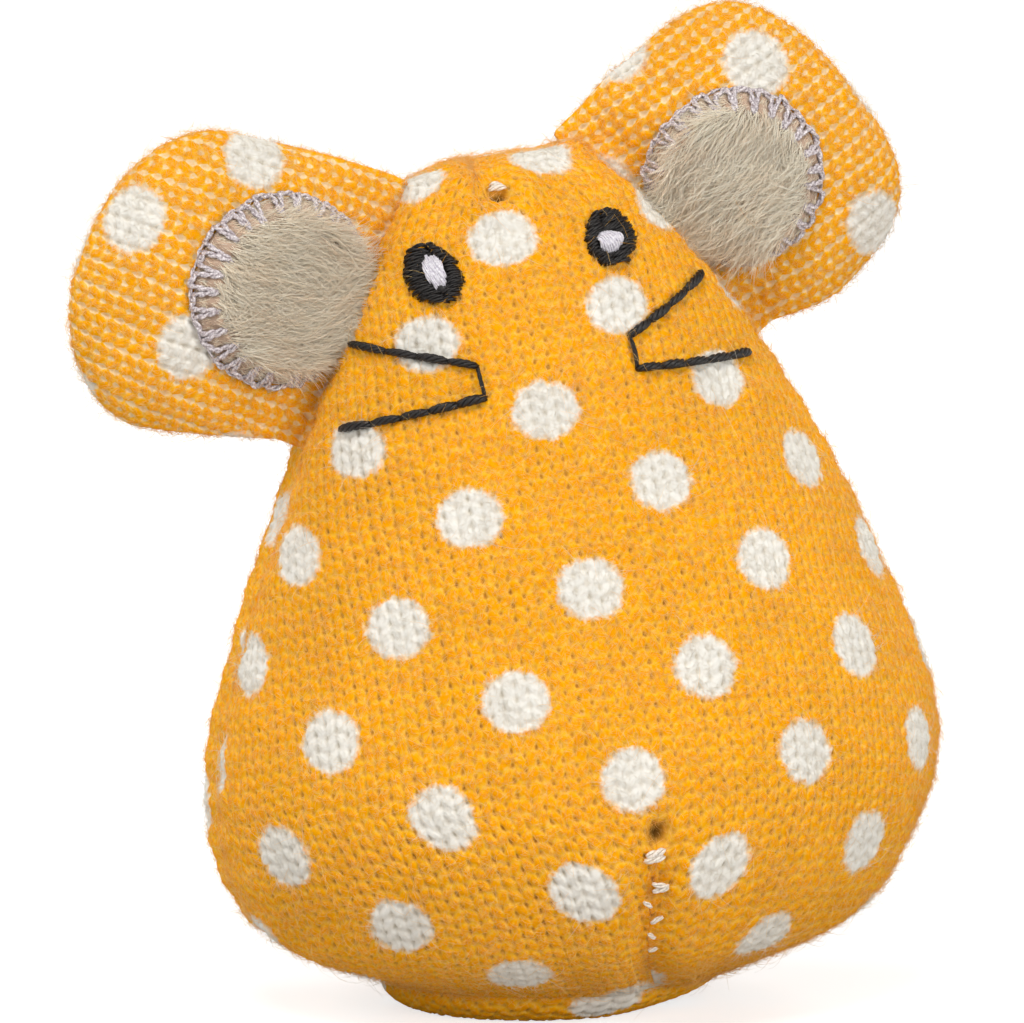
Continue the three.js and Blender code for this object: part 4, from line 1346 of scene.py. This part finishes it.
def camera():
    """Camera at the photograph's angle, with the picture's middle on its axis."""
    azimuth, elevation = CAMERA_AZIMUTH, CAMERA_ELEVATION
    back = Vector((
        math.sin(azimuth) * math.cos(elevation),
        -math.cos(azimuth) * math.cos(elevation),
        math.sin(elevation),
    ))
    right = Vector((math.cos(azimuth), math.sin(azimuth), 0))
    up = back.cross(right)
    target = Vector(CAMERA_TARGET) + right * CAMERA_SHIFT[0] + up * CAMERA_SHIFT[1]
    lens = bpy.data.cameras.new("photo")
    lens.sensor_width = SENSOR
    lens.lens = PIXELS_PER_MM * CAMERA_DISTANCE / PICTURE_WIDTH * SENSOR
    lens.clip_start = 0.01
    lens.clip_end = 20
    eye = bpy.data.objects.new("photo", lens)
    bpy.context.collection.objects.link(eye)
    turn = Matrix((right, up, back)).transposed().to_4x4()
    eye.matrix_world = Matrix.Translation((target + back * CAMERA_DISTANCE) * MM) @ turn
    bpy.context.scene.camera = eye


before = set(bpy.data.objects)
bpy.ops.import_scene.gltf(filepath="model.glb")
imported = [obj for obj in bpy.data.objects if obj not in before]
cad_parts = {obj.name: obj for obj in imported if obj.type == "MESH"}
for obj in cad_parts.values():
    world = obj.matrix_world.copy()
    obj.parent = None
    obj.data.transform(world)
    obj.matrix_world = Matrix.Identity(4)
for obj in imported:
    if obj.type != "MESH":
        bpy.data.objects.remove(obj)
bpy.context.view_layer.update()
bpy.context.scene.view_settings.view_transform = "Standard"
camera()
sweep()
sky()
for name, place, energy in LAMPS:
    area_light(name, place, energy)

# The body's hole colour is a darker brown: partly the filling seen through the gaps, partly painted shade
knit = knit_material("knit", linear(172, 126, 58), linear(234, 172, 62), 0.42)
ear_knit = knit_material("ear_knit", linear(240, 208, 164), linear(255, 236, 198), 0.58)
fuzz = fuzz_material()
plush = plush_material()
# The black floss's lighter flecks are painted highlights on its fibres
black = thread_material("black_floss", linear(5, 4, 5), linear(34, 30, 29), 0.35, 0.3)
pale = thread_material("pale_floss", linear(206, 201, 214), linear(243, 241, 247), 0.45, 0.4)
white = thread_material("white_thread", linear(222, 210, 196), linear(250, 244, 236), 0.6, 0.4)
shiny = thread_material("grey_thread", linear(150, 136, 142), linear(234, 227, 231), 0.22, 0.9)
reverse = filling_material("jersey_reverse", linear(222, 188, 160), linear(246, 228, 208), 2400)
fibre = filling_material("fibre_fill", linear(226, 222, 214), linear(250, 249, 246), 900)
pouch = filling_material("pouch", linear(206, 212, 202), linear(232, 236, 228), 1600)
leaf = filling_material("catnip", linear(70, 84, 40), linear(140, 146, 88), 700)

front = body_panel(FRONT, KNIT_STEP, FRONT_PRINT)
back = body_panel(BACK, COARSE_STEP, BACK_PRINT)
base = polar_panel(
    base_sheet(), extent=26, turn=0.0, step=COARSE_STEP, origin=BASE_PRINT, gap=BASE_OPENING,
    sink=1.0, relief=no_relief)
for name, panel in (("front", front), ("back", back), ("base", base)):
    knit_piece(f"{name}_panel", panel, knit, body="body")
fuzz_piece("front_fuzz", front, FRONT_FUZZ, 1, fuzz, "body")
fuzz_piece("back_fuzz", back, BACK_FUZZ, 2, fuzz, "body")

for name, side in SIDES.items():
    whisker(f"{name}_whisker", side, black)
    eye_ring(f"{name}_eye_ring", side, black)
    eye_highlight(f"{name}_eye_highlight", side, pale)
dart_thread("belly_dart_thread", white)
forehead_thread("forehead_thread", white)

for name in SIDES:
    ear = Ear(name)
    body = f"{name}_ear"
    x, y, *turn_and_stretch = ear.print
    behind = (x + EAR_BACK_SHIFT[0], y + EAR_BACK_SHIFT[1], *turn_and_stretch)
    for face, word, origin in ((FRONT, "front", ear.print), (BACK, "back", behind)):
        sheet = ear.sheet(face)
        panel = polar_panel(
            sheet, extent=32, turn=ear.wales, step=KNIT_STEP, origin=origin, gap=EAR_OPENING,
            sink=0.7, relief=ear_relief)
        knit_piece(f"{body}_{word}", panel, ear_knit, body=body)
        fuzz_piece(f"{body}_{word}_fuzz", panel, EAR_FUZZ, 5 + face, fuzz, body)
    plush_patch(f"{body}_patch", ear, 11, plush, body)
    zigzag(f"{name}_patch_stitching", ear, 13, shiny, body)
    filling(f"{body}_padding", fibre, size=3.0, amount=0.05, body=body)
    filling(f"{body}_tab", reverse, size=3.0, amount=0.06, body="body")

for node, material, fill in (
    ("body_stuffing", fibre, 0.9),
    ("head_stuffing", fibre, 0.9),
    ("sachet_front", pouch, 0),
    ("sachet_back", pouch, 0),
    ("catnip_fill", leaf, 0.6),
):
    filling(node, material, size=5.0, amount=0.02, body="body")
